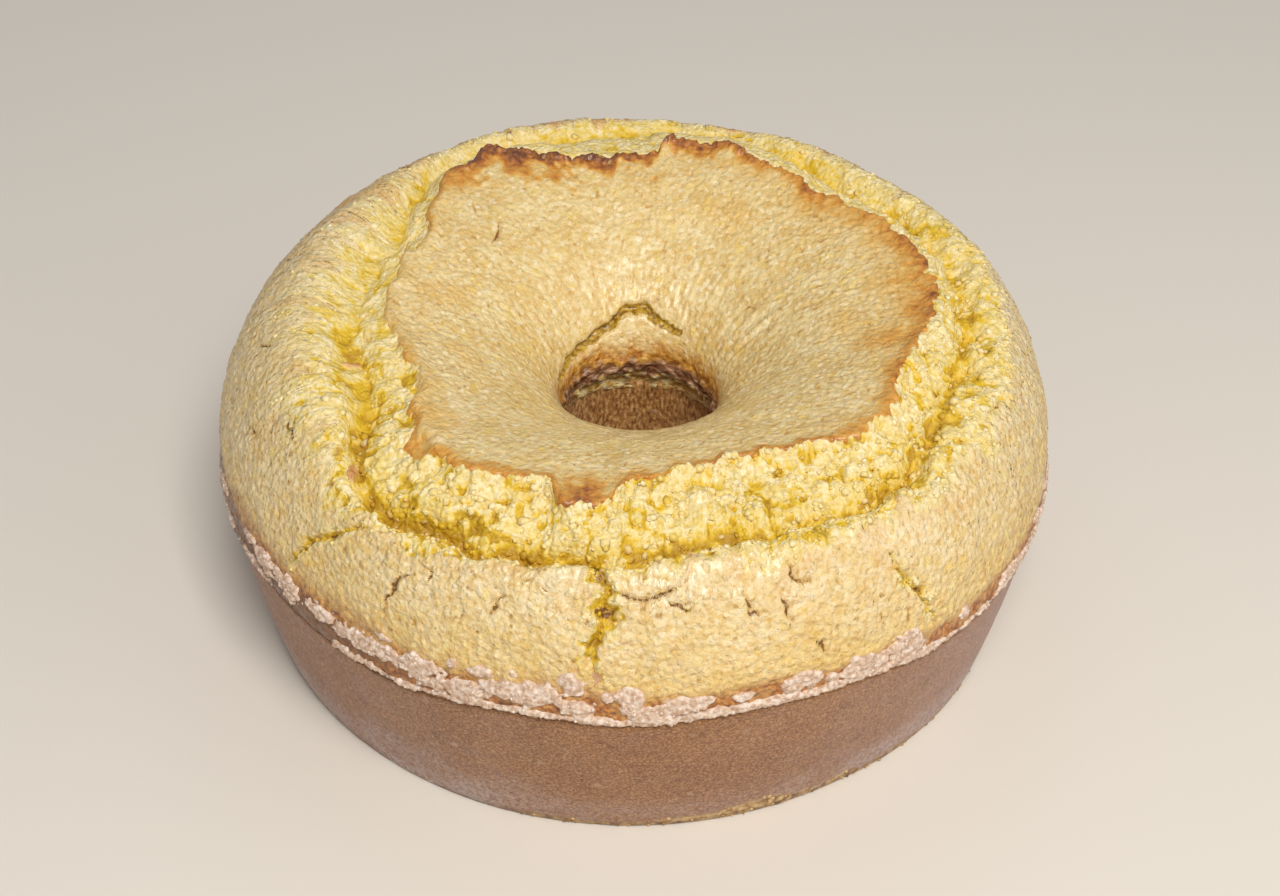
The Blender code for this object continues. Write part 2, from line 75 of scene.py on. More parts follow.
# Round the ring: plain radii of the solid's landmarks, in millimetres
ISLAND_EDGE_MM = (
    83, 84, 82.5, 77.5, 80, 84, 76.5, 77, 86, 82, 71, 69,
    68.5, 66, 67, 79, 84, 80, 76, 69, 71.5, 79.5, 77.5, 77,
)
TRENCH_MM = (
    88, 88.5, 89, 87, 89, 95, 93, 90, 94, 89, 79, 77,
    77, 77.5, 81, 97, 97.5, 96.5, 94.5, 91, 92.5, 92.5, 88.5, 88,
)
CRUST_EDGE_MM = (
    100, 100, 99, 97, 97, 101, 100, 98, 100, 97, 93, 92,
    92, 92, 95, 103, 104, 102, 100, 98, 99.5, 101.5, 100, 100,
)
TEAR_DEPTH_SHARE = (0.75, 0.7, 0.65, 0.75, 0.65, 0.8, 1.15, 1.0)
FOOT_FULLNESS_MM = (
    1.6, 1.4, 1.2, 1.0, 1.0, 1.0, 1.0, 1.0, 1.2, 1.5, 2.0, 2.5,
    2.9, 3.4, 3.2, 2.2, 1.6, 1.1, 0.5, -0.1, -0.5, 0.5, 1.5, 1.7,
)
PAN_LINE_WAVE_MM = (
    0, 0.3, 0, -0.3, 0, 0.4, 0, -0.3, 0, 0.3, 0, -0.2,
    0, 0.2, 1.0, -0.3, -1.6, 0.8, 0.2, 3.0, 2.0, -0.8, -0.6, -0.3,
)
PAN_LINE_WAVE_REACH = 0.0140
TEAR_SECTION = (
    (74.0, 0.0), (78.4, -0.6), (80.4, -0.2), (81.4, 1.0), (82.4, 2.4), (85.0, 3.8), (89.0, 5.6),
    (92.2, 8.0), (94.0, 9.6), (95.8, 8.0), (97.6, 4.6), (99.6, 1.8), (102.0, 0.2), (105.0, 0.0),
)
TONGUE_AZIMUTH = 261.0
TONGUE_HALF_WIDTH = 5.6
TONGUE_REACH = 0.0085

# Cracks: points of (azimuth, millimetres of rise), half width and depth in millimetres
CRACKS = (
    (
        ((265.0, 52), (264.2, 45), (265.8, 38), (265.0, 34), (266.4, 29), (265.0, 24), (264.4, 18)),
        3.4,
        5.0,
    ),
    (((266.0, 37), (269.2, 36.3), (271.8, 34.6), (273.4, 35.2), (275.8, 36.8)), 1.6, 2.6),
    (((273.4, 33.6), (275.0, 33), (276.8, 30.8)), 1.1, 1.8),
    (((283.2, 33), (284.2, 30.7), (286.0, 26.4)), 1.1, 1.8),
    (((289.2, 32.8), (289.0, 28), (289.6, 23)), 1.3, 2.2),
    (((290.2, 37.6), (291.6, 34.4), (292.8, 31.6)), 1.5, 2.4),
    (((292.3, 20), (293.0, 17), (294.0, 12.2)), 1.1, 1.8),
    (
        ((305.4, 35), (306.2, 29.4), (306.8, 25), (308.5, 20.7), (310.2, 15.4), (311.2, 9.5)),
        2.0,
        3.2,
    ),
    (((219.0, 13), (220.5, 18), (222.8, 24.6), (225.2, 28.2), (227.5, 35), (230.6, 41)), 1.9, 3.2),
    (((239.8, 32), (238.5, 29.2), (237.0, 25.4), (236.8, 21.6), (236.2, 15.5)), 1.4, 2.3),
    (((240.0, 39), (241.5, 34.6), (241.8, 29)), 1.1, 1.8),
    (((186.0, 55), (191.0, 59)), 1.4, 2.4),
    (((159.0, 62), (153.0, 57), (148.5, 62)), 1.6, 2.8),
    (((20.0, 46), (17.0, 38)), 1.3, 2.2),
    (((78.0, 46), (80.0, 36), (77.0, 26)), 1.8, 3.0),
    (((112.0, 50), (115.0, 40), (114.0, 30)), 1.6, 2.8),
)
ISLAND_DENTS = (
    (((141.0, 57.0), (137.0, 56.5), (132.5, 58.5)), 1.6, 1.2),
    (((34.0, 35.5), (29.0, 36.5)), 1.2, 0.9),
)
THROAT_CRACK = (
    ((166, 66), (144, 67.5), (126, 68.5), (110, 71), (97, 73.5), (86, 74.5), (78, 71.5), (62, 70)),
    1.5,
    3.6,
)
CRACK_RING_RADIUS = 0.1090
CRACK_WIGGLE = (0.0045, 0.0011)
CRACK_END = 0.06
TORN_INNER = (0.0790, 0.0830)
TORN_OUTER = (0.0970, 0.1010)
UNEVEN_RISE = (0.0, 0.0120)
UNEVEN_RADIUS = (0.0240, 0.0400)
SWELLS = (0.036, 0.0010)
CLODS = (0.0085, 0.0016)
CRUMBS = (0.0042, 0.0009)
BLISTERS = (0.0065, 0.00035)
EDGE_NOTCHES = (0.0060, 0.0016)
DOME_TILT = 0.0018
DOME_TILT_AZIMUTH = 75.0
FIRST_ROW_ANGLE = 3.0  # the solid's rise is counted from this far round the flank, in degrees
NOISE_RING_RADIUS = 0.0900
CRACK_JAGS = (0.0017, 0.0005)
FRONT_CLOSENESS = 0.35  # how much closer together a ring's points lie at the front

# The baked flour along the pan line. Its lobes: azimuth and millimetres above the pan line,
# then half length and half height in millimetres
FLOUR_RIM_RISE = 0.0010
FLOUR_RIM_MM = (
    1.0, 1.0, 0.8, 0.8, 0.8, 0.8, 0.8, 0.8, 0.8, 0.8, 0.7, 0.7,
    0.6, 0.5, 0.2, 0.2, 0.3, 0.6, 0.8, 1.1, 0.8, 1.0, 1.0, 1.0,
)
FLOUR_LOBES = (
    (209.4, 8.0, 3.2, 2.0), (213.7, 6.8, 5.6, 3.4), (218.5, 6.4, 6.0, 3.8), (226, 8.1, 5.4, 2.8),
    (230.4, 7.7, 3.8, 2.5), (235.5, 8.5, 7.6, 3.4), (243, 7.9, 6.0, 4.0), (248.1, 4.2, 5.4, 3.6),
    (250.8, 12.8, 3.0, 1.3), (256.1, 8, 9.2, 4.6), (262.4, 12.4, 3.4, 3.2), (262.6, 5.2, 4.4, 3),
    (269.2, 9.5, 3.0, 4.4), (272.1, 3.2, 3.8, 3.0), (276.2, 6.4, 5.2, 2.8), (283.4, 5.8, 2.8, 1.8),
    (291.1, 6.4, 4.6, 4.0), (294.9, 3.6, 1.7, 3.0), (299.6, 4.6, 5.8, 4.2), (306.6, 5.8, 4.6, 4.6),
    (317.1, 5.7, 2.0, 2.0), (266.6, 10.3, 1.2, 1.4), (236.8, 13.2, 2.4, 1.2), (246.8, 13, 1.3, 1.5),
    (231.7, 0.8, 4.8, 1.2), (240.9, 0.6, 3.8, 0.9),
)
HIDDEN_LOBES = (325, 560, 24)  # from and to these azimuths, this many more
HIDDEN_LOBES_SEED = 7


# ---------------------------------------------------------------- small maths
def cell_numbers(cells, seed):
    """A repeatable number from 0 to 1 for each whole-number cell."""
    x, y, z = (cells[..., axis].astype(np.int64) for axis in range(3))
    mixed = (x * 73856093) ^ (y * 19349663) ^ (z * 83492791) ^ (seed * 2654435761)
    mixed = ((mixed ^ (mixed >> 13)) * 1274126177) & 0x7FFFFFFF
    return ((mixed ^ (mixed >> 15)) % 65536) / 65535.0


def lumps(points, size, seed):
    """Smooth noise from -1 to 1 with lumps of about this size."""
    scaled = points / size
    cell = np.floor(scaled)
    part = scaled - cell
    ease = part * part * part * (part * (part * 6 - 15) + 10)
    total = np.zeros(points.shape[:-1])
    for corner in np.ndindex(2, 2, 2):
        share = np.prod(np.where(corner, ease, 1 - ease), axis=-1)
        total += share * cell_numbers(cell + corner, seed)
    return 2 * total - 1


def pebbles(points, size, seed):
    """Rounded grains packed side by side: 1 on top of a grain, 0 where grains meet."""
    scaled = points / size
    cell = np.floor(scaled)
    nearest = np.full(points.shape[:-1], 9.0)
    for corner in np.ndindex(3, 3, 3):
        neighbour = cell + np.array(corner) - 1
        middle = np.stack([cell_numbers(neighbour, seed + k) for k in range(3)], axis=-1)
        away = ((scaled - neighbour - 0.15 - 0.7 * middle) ** 2).sum(axis=-1)
        nearest = np.minimum(nearest, away)
    return np.clip(1 - nearest / 0.62, 0, 1)


def smooth_step(low, high, value):
    part = np.clip((value - low) / (high - low), 0, 1)
    return part * part * (3 - 2 * part)


def within(band_mm, value):
    """1 inside the band and 0 outside it; the band's four places, in millimetres, say where
    it starts, is whole, begins to fade and ends."""
    start, whole, fading, end = (place * MM for place in band_mm)
    return smooth_step(start, whole, value) * (1 - smooth_step(fading, end, value))


def spline(points, spacing):
    """Points about this far apart on a smooth curve through the given ones."""
    points = np.array(points, float)
    padded = np.vstack([2 * points[0] - points[1], points, 2 * points[-1] - points[-2]])
    found = []
    for before, start, end, after in zip(padded, padded[1:], padded[2:], padded[3:]):
        count = max(1, round(np.linalg.norm(end - start) / spacing))
        t = np.arange(count)[:, None] / count
        found.append(
            start
            + 0.5 * t * (end - before)
            + t * t * (before - 2.5 * start + 2 * end - 0.5 * after)
            + 0.5 * t**3 * (3 * start - before - 3 * end + after)
        )
    return np.vstack([*found, points[-1:]])


def round_the_ring(values, azimuth):
    """Evenly spaced values round the ring, read smoothly at these azimuths."""
    values = np.array(values, float)
    place = (azimuth % 360) / 360 * len(values)
    index = np.floor(place).astype(int)
    t = place - index
    before, start, end, after = (values[(index + k) % len(values)] for k in (-1, 0, 1, 2))
    slope = 0.5 * (end - before)
    bend = before - 2.5 * start + 2 * end - 0.5 * after
    twist = 0.5 * (3 * start - before - 3 * end + after)
    return start + t * (slope + t * (bend + t * twist))


def off_azimuth(azimuth, middle):
    """How far round from this azimuth, from -180 to 180 degrees."""
    return (azimuth - middle + 180) % 360 - 180


# ---------------------------------------------------------------- the plain section
def dome_height(radius):
    outward = np.clip((radius - CREST_RADIUS) / (PAN_LINE_RADIUS - CREST_RADIUS), 0, 1)
    inward = np.clip((CREST_RADIUS - radius) / (CREST_RADIUS - THROAT_RADIUS), 0, 1)
    outer = (CREST_HEIGHT - PAN_LINE_HEIGHT) * np.sqrt(1 - outward**2)
    power, root = FUNNEL_POWERS
    inner = (CREST_HEIGHT - THROAT_HEIGHT) * (1 - inward**power) ** root
    return np.where(radius > CREST_RADIUS, PAN_LINE_HEIGHT + outer, THROAT_HEIGHT + inner)


def plain_section():
    """Fine rows of (radius, height, rise) from the pan line over the dome and down the hole,
    and the rise at which the hole starts."""
    across = PAN_LINE_RADIUS - CREST_RADIUS
    top = math.acos((TEAR_SECTION[-1][0] * MM - CREST_RADIUS) / across)
    out = CREST_RADIUS + across * np.cos(np.linspace(0, top, 160))
    flank = np.column_stack([out, dome_height(out)])
    section = np.array(TEAR_SECTION[::-1]) * MM
    tear = np.column_stack([section[:, 0], dome_height(section[:, 0]) - section[:, 1]])
    inside = CREST_RADIUS - THROAT_RADIUS
    start = math.acos((CREST_RADIUS - TEAR_SECTION[0][0] * MM) / inside)
    out = CREST_RADIUS - inside * np.cos(np.linspace(start, 0, 260))
    funnel = np.column_stack([out, dome_height(out)])
    hole = spline(
        [
            (THROAT_RADIUS, THROAT_HEIGHT),
            (THROAT_RADIUS - 0.0004, THROAT_HEIGHT - 0.0030),
            (THROAT_RADIUS + 0.0004, TUBE_TOP_HEIGHT + 0.0040),
            (THROAT_RADIUS + 0.0024, TUBE_TOP_HEIGHT + 0.0012),
            (THROAT_RADIUS + 0.0040, TUBE_TOP_HEIGHT - 0.0020),
            (HOLE_FOOT_RADIUS - 0.0012, TUBE_BEND_HEIGHT),
            (HOLE_FOOT_RADIUS, HOLE_FOOT_ROUNDING),
        ],
        0.4 * MM,
    )
    rows = np.vstack([flank, spline(tear, 0.3 * MM)[1:-1], funnel, hole[1:]])
    rise = np.concatenate([[0], np.cumsum(np.linalg.norm(np.diff(rows, axis=0), axis=1))])
    first = math.radians(FIRST_ROW_ANGLE)
    skipped = np.interp(first, np.linspace(0, top, 160), rise[:160])
    rise = rise - skipped
    return np.column_stack([rows, rise]), rise[-len(hole)]


SECTION, HOLE_RISE = plain_section()
PAN_LINE_RISE = SECTION[0, 2]


def rise_at_radius(radius):
    """The rise where the plain dome has this radius."""
    dome = SECTION[SECTION[:, 2] <= HOLE_RISE]
    return np.interp(-np.asarray(radius, float), -dome[:, 0], dome[:, 2])


def rise_in_hole(height):
    """The rise where the hole's plain wall has this height."""
    hole = SECTION[SECTION[:, 2] >= HOLE_RISE]
    return np.interp(-height, -hole[:, 1], hole[:, 2])


# ---------------------------------------------------------------- the baked surface
def turn_steps(steps, closeness):
    """Azimuths round the ring, closer together at the front by this share."""
    even = np.arange(steps)[:, None] * 360.0 / steps
    return even - np.degrees(closeness * np.sin(np.radians(even - 270)))


def ring_points(azimuth):
    turn = np.radians(azimuth)
    circle = np.stack([np.cos(turn), np.sin(turn), np.zeros_like(turn)], axis=-1)
    return NOISE_RING_RADIUS * circle


def wandered_radius(radius, azimuth, ring):
    """The plain landmarks moved to where the island's edge, the trench and the outer
    crust's edge lie on this side of the cake."""
    notch_size, notch_reach = EDGE_NOTCHES
    off_tongue = (azimuth - TONGUE_AZIMUTH) / TONGUE_HALF_WIDTH
    edge = round_the_ring(ISLAND_EDGE_MM, azimuth) * MM
    edge = edge + TONGUE_REACH * np.exp(-(off_tongue**4))
    edge = edge + notch_reach * lumps(ring, notch_size, 11)
    trench = round_the_ring(TRENCH_MM, azimuth) * MM + notch_reach * lumps(ring, notch_size, 12)
    trench = np.maximum(trench, edge + NARROWEST_TEAR)
    crust = round_the_ring(CRUST_EDGE_MM, azimuth) * MM + notch_reach * lumps(ring, notch_size, 13)
    crust = np.maximum(crust, trench + NARROWEST_TEAR)
    plain = (WANDER_INNER, ISLAND_EDGE, TRENCH, CRUST_EDGE, WANDER_OUTER)
    moved = (WANDER_INNER, edge, trench, crust, WANDER_OUTER)
    result = radius.copy()
    for low, high, new_low, new_high in zip(plain, plain[1:], moved, moved[1:]):
        share = (radius - low) / (high - low)
        inside = (radius > low) & (radius <= high)
        result = np.where(inside, new_low + share * (new_high - new_low), result)
    return result


def cleft(crack, azimuth, level, turn_radius, wiggle):
    """How deep one crack cuts at each point, given by its azimuth and its level, and how
    near its middle line the point lies, from 0 at its side to 1."""
    path, half_width, deepest = crack
    path = np.array(path, float)
    middle = path[:, 0].mean()
    along = np.radians(off_azimuth(azimuth, middle)) * turn_radius + wiggle
    nodes = np.column_stack([np.radians(path[:, 0] - middle) * turn_radius, path[:, 1] * MM])
    steps = np.linalg.norm(np.diff(nodes, axis=0), axis=1)
    depth = np.zeros(azimuth.shape)
    near = np.zeros(azimuth.shape)
    reached = 0.0
    for start, end, step in zip(nodes, nodes[1:], steps):
        direction = (end - start) / step
        off_along, off_level = along - start[0], level + 0.5 * wiggle - start[1]
        ahead = np.clip(off_along * direction[0] + off_level * direction[1], 0, step)
        aside = np.hypot(off_along - ahead * direction[0], off_level - ahead * direction[1])
        share = np.clip((reached + ahead) / steps.sum(), CRACK_END, 1 - CRACK_END)
        taper = np.sqrt(np.sin(np.pi * share))
        cut = deepest * MM * taper * np.clip(1 - aside / (half_width * MM * taper), 0, 1)
        depth = np.maximum(depth, cut)
        close = np.clip(1 - aside / (half_width * MM), 0, 1)
        near = np.maximum(near, close * (0.55 + 0.45 * taper))
        reached += step
    return depth, near


def crack_depth(azimuth, rise, plain, cracks=CRACKS, narrowing=1.0, jaggedness=1.0):
    """How deep these cracks and the dents cut at each point of the dome, and how near their
    middle line each point lies, from 0 off a crack to 1 on its line."""
    wiggle = CRACK_WIGGLE[1] * lumps(plain, CRACK_WIGGLE[0], 21)
    wiggle = wiggle + jaggedness * CRACK_JAGS[1] * lumps(plain, CRACK_JAGS[0], 22)
    radius = np.hypot(plain[..., 0], plain[..., 1])
    depth = np.zeros(azimuth.shape)
    line = np.zeros(azimuth.shape)

    def cut(crack, level, turn_radius, where=True):
        path, half_width, deepest = crack
        found = cleft((path, half_width * narrowing, deepest), azimuth, level, turn_radius, wiggle)
        for total, part in zip((depth, line), found):
            np.maximum(total, np.where(where, part, 0), out=total)

    for crack in cracks:
        cut(crack, rise, CRACK_RING_RADIUS)
    for dent in ISLAND_DENTS:
        cut(dent, radius, dent[0][0][1] * MM)
    cut(THROAT_CRACK, plain[..., 2], THROAT_RADIUS, radius < 0.5 * CREST_RADIUS)
    return depth, line


def surface_lean(radius):
    outward = np.clip((radius - CREST_RADIUS) / (PAN_LINE_RADIUS - CREST_RADIUS), 0, 1)
    inward = np.clip((CREST_RADIUS - radius) / (CREST_RADIUS - THROAT_RADIUS), 0, 1)
    return np.arcsin(outward) - np.arcsin(inward)


def shoulder_bulge(azimuth):
    return SHOULDER_BULGE * np.cos(np.radians(azimuth - SHOULDER_BULGE_AZIMUTH))


def pan_line_wave(azimuth, height):
    near = np.exp(-(((height - PAN_LINE_HEIGHT) / PAN_LINE_WAVE_REACH) ** 2))
    return round_the_ring(PAN_LINE_WAVE_MM, azimuth) * MM * near


class Patch:
    """Rows of the plain dome at some azimuths: where they lie before they are baked."""

    def __init__(self, steps, rise, closeness=FRONT_CLOSENESS):
        """rise: one value for each row, or one for each azimuth and row."""
        azimuth = turn_steps(steps, closeness)
        self.rise = np.broadcast_to(rise, (steps, np.shape(rise)[-1])).astype(float)
        self.azimuth = np.broadcast_to(azimuth, self.rise.shape)
        self.turn = np.radians(self.azimuth)
        self.radius = np.interp(self.rise, SECTION[:, 2], SECTION[:, 0])
        self.height = np.interp(self.rise, SECTION[:, 2], SECTION[:, 1])
        self.in_hole = self.rise > HOLE_RISE
        self.circle = np.stack([np.cos(self.turn), np.sin(self.turn), 0 * self.turn], axis=-1)
        self.ring = ring_points(azimuth)
        self.plain = self.circle * self.radius[..., None]
        self.plain[..., 2] = self.height
        on_dome = ~self.in_hole
        wander = wandered_radius(self.radius, self.azimuth, self.ring)
        self.moved = np.where(on_dome, wander, self.radius)
        below = np.where(on_dome, dome_height(self.radius) - self.height, 0)
        share = np.where(self.torn() > 0, self.around(TEAR_DEPTH_SHARE), 1.0)
        self.level = np.where(on_dome, dome_height(self.moved) - below * share, self.height)
        self.spot = self.circle * self.moved[..., None]
        self.spot[..., 2] = self.level

    def cracks(self, *how):
        return crack_depth(self.azimuth, self.rise, self.plain, *how)

    def noise(self, size_mm, seed):
        """Lumps of about this size that lie on the plain dome."""
        return lumps(self.plain, size_mm * MM, seed)

    def grit(self, size_mm, seed):
        """Lumps of about this size that lie on the dome as it has wandered."""
        return lumps(self.spot, size_mm * MM, seed)

    def sway(self, size_mm, seed):
        """Lumps that change only round the ring."""
        return lumps(self.ring, size_mm * MM, seed)

    def around(self, table):
        return round_the_ring(table, self.azimuth)

    def side(self, middle, half_width, power=4):
        """1 round this azimuth, falling to 0 on both sides, in degrees."""
        return np.exp(-((off_azimuth(self.azimuth, middle) / half_width) ** power))

    def torn(self):
        fade = smooth_step(*TORN_INNER, self.radius) * (1 - smooth_step(*TORN_OUTER, self.radius))
        return fade * ~self.in_hole

    def evenness(self):
        fade = smooth_step(*UNEVEN_RISE, self.rise) * smooth_step(*UNEVEN_RADIUS, self.radius)
        return fade * ~self.in_hole

    def baked(self, relief):
        """Places on the baked surface, raised by the relief along the dome's own normal."""
        on_dome, moved = ~self.in_hole, self.moved
        near_pan_line = on_dome * smooth_step(CREST_RADIUS, PAN_LINE_RADIUS, self.radius)
        fullness = shoulder_bulge(self.azimuth) * near_pan_line
        lean = np.where(on_dome, surface_lean(moved), -math.pi / 2)
        tilt = DOME_TILT * np.cos(np.radians(self.azimuth - DOME_TILT_AZIMUTH))
        tilt = tilt * self.evenness() * moved / CREST_RADIUS
        out = moved + fullness + relief * np.sin(lean)
        up = self.level + relief * np.cos(lean) + tilt
        up = up + pan_line_wave(self.azimuth, self.height) * on_dome
        points = self.circle * out[..., None]
        points[..., 2] = up
        return points

    def common_relief(self):
        fade = self.evenness()
        relief = fade * SWELLS[1] * lumps(self.plain, SWELLS[0], 1)
        return relief + fade * BLISTERS[1] * lumps(self.plain, BLISTERS[0], 2)


def box_middle():
    """The middle of the baked shape's box, which the solid puts over the origin."""
    outer = Patch(720, np.linspace(PAN_LINE_RISE, 0.03, 40))
    points = outer.baked(outer.common_relief())[..., :2].reshape(-1, 2)
    return (points.min(axis=0) + points.max(axis=0)) / 2


BOX_MIDDLE = box_middle()


# ---------------------------------------------------------------- making meshes
def ring_mesh(name, rings, values):
    """A closed band: each ring is joined to the next and the last to the first. Rings next
    to each other have as many points, half as many or twice as many. values holds named
    numbers for each point of each ring."""
    starts = np.cumsum([0] + [len(ring) for ring in rings])
    quads, triangles = [], []
    for here in range(len(rings)):
        ahead = (here + 1) % len(rings)
        a_count, b_count = len(rings[here]), len(rings[ahead])
        k = np.arange(min(a_count, b_count))
        a, b = starts[here], starts[ahead]
        if a_count == b_count:
            after = (k + 1) % a_count
            quads.append(np.column_stack([a + k, a + after, b + after, b + k]))
        elif a_count == 2 * b_count:
            two, three, after = 2 * k + 1, (2 * k + 2) % a_count, (k + 1) % b_count
            triangles.append(np.column_stack([a + 2 * k, a + two, b + k]))
            triangles.append(np.column_stack([a + two, a + three, b + after]))
            triangles.append(np.column_stack([a + two, b + after, b + k]))
        else:
            two, three, after = 2 * k + 1, (2 * k + 2) % b_count, (k + 1) % a_count
            triangles.append(np.column_stack([a + k, b + two, b + 2 * k]))
            triangles.append(np.column_stack([a + k, a + after, b + two]))
            triangles.append(np.column_stack([a + after, b + three, b + two]))
    points = np.vstack(rings)
    points[:, :2] -= BOX_MIDDLE
    faces = np.vstack(quads).tolist() + (np.vstack(triangles).tolist() if triangles else [])
    mesh = bpy.data.meshes.new(name)
    mesh.from_pydata(points.tolist(), [], faces)
    for label, numbers in values.items():
        layer = mesh.attributes.new(label, "FLOAT", "POINT")
        layer.data.foreach_set("value", np.concatenate(numbers).astype(np.float32))
    mesh.shade_smooth()
    return mesh


def face_outwards(mesh):
    work = bmesh.new()
    work.from_mesh(mesh)
    bmesh.ops.recalc_face_normals(work, faces=work.faces)
    work.to_mesh(mesh)
    work.free()


def placed(name, mesh, material=None):
    piece = bpy.data.objects.new(name, mesh)
    bpy.context.scene.collection.objects.link(piece)
    if material:
        mesh.materials.append(material)
    return piece


def belongs(piece):
    """The piece stands for the cake's solid: it hangs from the root body, and the solid's own mesh
    is hidden.
    """
    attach(piece, "root")
    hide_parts("cake")
    return piece


class Band:
    """Collects the rings of a closed band with the numbers stored on their points."""

    def __init__(self, labels):
        self.rings = []
        self.values = {label: [] for label in labels}

    def add(self, points, **numbers):
        """points: (azimuths, rows, 3); numbers: one value, or (azimuths, rows)."""
        for row in range(points.shape[1]):
            self.rings.append(points[:, row])
            for label, found in self.values.items():
                number = numbers.get(label, 0.0)
                column = np.broadcast_to(number, points.shape[:2])[:, row]
                found.append(np.array(column, float))

    def inner_side(self, steps, rises, drop, closeness=FRONT_CLOSENESS):
        """A coarse hidden side, back below the baked surface."""
        hidden = Patch(steps, np.asarray(rises, float), closeness)
        self.add(hidden.baked(np.full(hidden.rise.shape, -drop)))

    def mesh(self, name):
        return ring_mesh(name, self.rings, self.values)


def edge_fray(ring, reach, seed):
    """How far an edge strays round the ring: small bites and crumbs along it."""
    fray = 0.50 * lumps(ring, 4.2 * MM, seed) + 0.38 * lumps(ring, 1.9 * MM, seed + 1)
    return reach * (fray + 0.28 * lumps(ring, 0.95 * MM, seed + 2))


# ---------------------------------------------------------------- the island's crust and funnel
ISLAND_RIM = 0.0813  # plain radius of the island's torn rim
ISLAND_STEPS = 1024
ISLAND_ROWS = 58
ISLAND_LIP_MM = (2.6, 1.6, 0.8, 0.25)  # how far the rows under the rim lie below it
FUNNEL_START = 0.050
FUNNEL_ROWS = 62
HOLE_CRUST_END = 0.0470
BAKED_GRAINS_MM = ((2.2, 0.36), (1.3, 0.30), (0.85, 0.20))  # size and height
BAKED_GRAINS_SUNK_MM = 0.42
RIM_TOAST = (0.50, 0.50, 0.46, 0.50, 0.50, 0.30, 0.22, 0.20, 0.34, 0.38, 0.44, 0.48)
RIM_TOAST_REACH_MM = (10, 9, 7, 7, 7, 6, 6, 5, 4, 5, 5, 7)
RIM_LINE = (0.30, 0.38, 0.70, 0.92, 1.00, 0.34, 0.10, 0.18, 0.52, 0.56, 0.62, 0.42)
RIM_LINE_REACH_MM = (3.4, 3.6, 4.0, 6.4, 8.5, 3.4, 2.0, 2.4, 4.0, 4.2, 4.4, 4.0)
RIM_RUFFLE = 1.1 * MM
RIM_SHIFT_MM = (
    -3.0, -2.8, -2.2, -2.5, -3.2, -3.4, -2.0, -3.2, -2.0, 1.0, 1.5, 1.0,
    0.5, 0.0, 0.0, 0.6, -1.3, -2.2, -2.8, -2.6, -2.2, -1.2, -0.7, -1.8,
)
# Corners of the rim: azimuth, half width in degrees and how far out they reach in millimetres
RIM_CORNERS = (
    (227.0, 3.4, 3.6), (257.4, 2.6, 2.6), (264.2, 2.0, 1.0),
    (84.4, 1.5, 2.4), (70.5, 3.2, 1.6), (122.0, 3.0, 1.4),
)
# Flakes of the rim: azimuth, half width in degrees and how high they stand in millimetres
RIM_FLAKES = ((84.4, 1.5, 2.8), (70.5, 3.0, 1.2), (122.0, 3.5, 1.2), (258.0, 5.0, 0.5))
WRINKLED_RADII_MM = (22.5, 27, 36, 46)
# Down the hole, heights in millimetres
FLAKY_BAND_MM = (46, 50, 60, 64)
EMBER_BAND_MM = (58.5, 61, 62.5, 69)
DARK_BAND_MM = (54.8, 55.8, 59.5, 62.2)
CRUMB_BELOW_MM = (54.8, 56)
HOLE_LEDGE = 0.0538
HOLE_BAND_WOBBLE = 1.3 * MM
THROAT_CRACK_LIMIT = 0.029  # the radius inside which a crack opens onto crumb


def baked_grains(patch, seed):
    """Swollen cornmeal grains of a baked crust, in three sizes."""
    (large, high), (medium, lower), (small, low) = BAKED_GRAINS_MM
    relief = high * pebbles(patch.spot, large * MM, seed)
    relief = relief + lower * pebbles(patch.spot, medium * MM, seed + 3)
    relief = relief + low * lumps(patch.spot, small * MM, seed + 7)
    return MM * (relief - BAKED_GRAINS_SUNK_MM)


def island_rim(ring):
    """Plain radius of the island's torn rim, with its corners and small bites."""
    azimuth = np.degrees(np.arctan2(ring[..., 1], ring[..., 0])) % 360
    shift = round_the_ring(RIM_SHIFT_MM, azimuth)
    for middle, half_width, reach in RIM_CORNERS:
        shift = shift + reach * np.exp(-((off_azimuth(azimuth, middle) / half_width) ** 6))
    return ISLAND_RIM + shift * MM + edge_fray(ring, 1.7 * MM, 51)


def rim_curl(patch, rim):
    """Flakes of the browned rim that stand up."""
    inward = np.clip(rim - patch.radius, 0, None)
    curl = np.zeros(patch.rise.shape)
    for middle, half_width, height in RIM_FLAKES:
        curl = curl + height * patch.side(middle, half_width)
    return curl * MM * np.exp(-((inward / (2.2 * MM)) ** 2))


def rim_toast(patch, rim):
    """How browned the crust is: a dark line at its torn rim that fades inwards, the tongue's
    tip, and a few faint clouds."""
    inward = np.clip(rim - patch.radius, 0, None)
    ragged = 1 + 0.55 * patch.noise(6, 61) + 0.5 * patch.noise(2.3, 62)
    width = patch.around(RIM_TOAST_REACH_MM) * MM
    broad = patch.around(RIM_TOAST) * np.exp(-((inward / width) ** 1.2))
    width = patch.around(RIM_LINE_REACH_MM) * MM * np.clip(ragged, 0.2, 2)
    line = patch.around(RIM_LINE) * np.exp(-((inward / width) ** 2))
    tip = patch.side(TONGUE_AZIMUTH, 6.0, 6)
    tip = 0.50 * tip * (1 - smooth_step(5.0 * MM, 10.0 * MM, inward * ragged))
    clouds = 0.20 * smooth_step(0.0, 0.8, patch.noise(13, 63))
    clouds = clouds * smooth_step(0.040, 0.060, patch.radius)
    toast = np.maximum(np.maximum(broad * (0.35 + 0.65 * ragged), line), tip * ragged)
    return np.clip(toast + clouds, 0, 1.15)


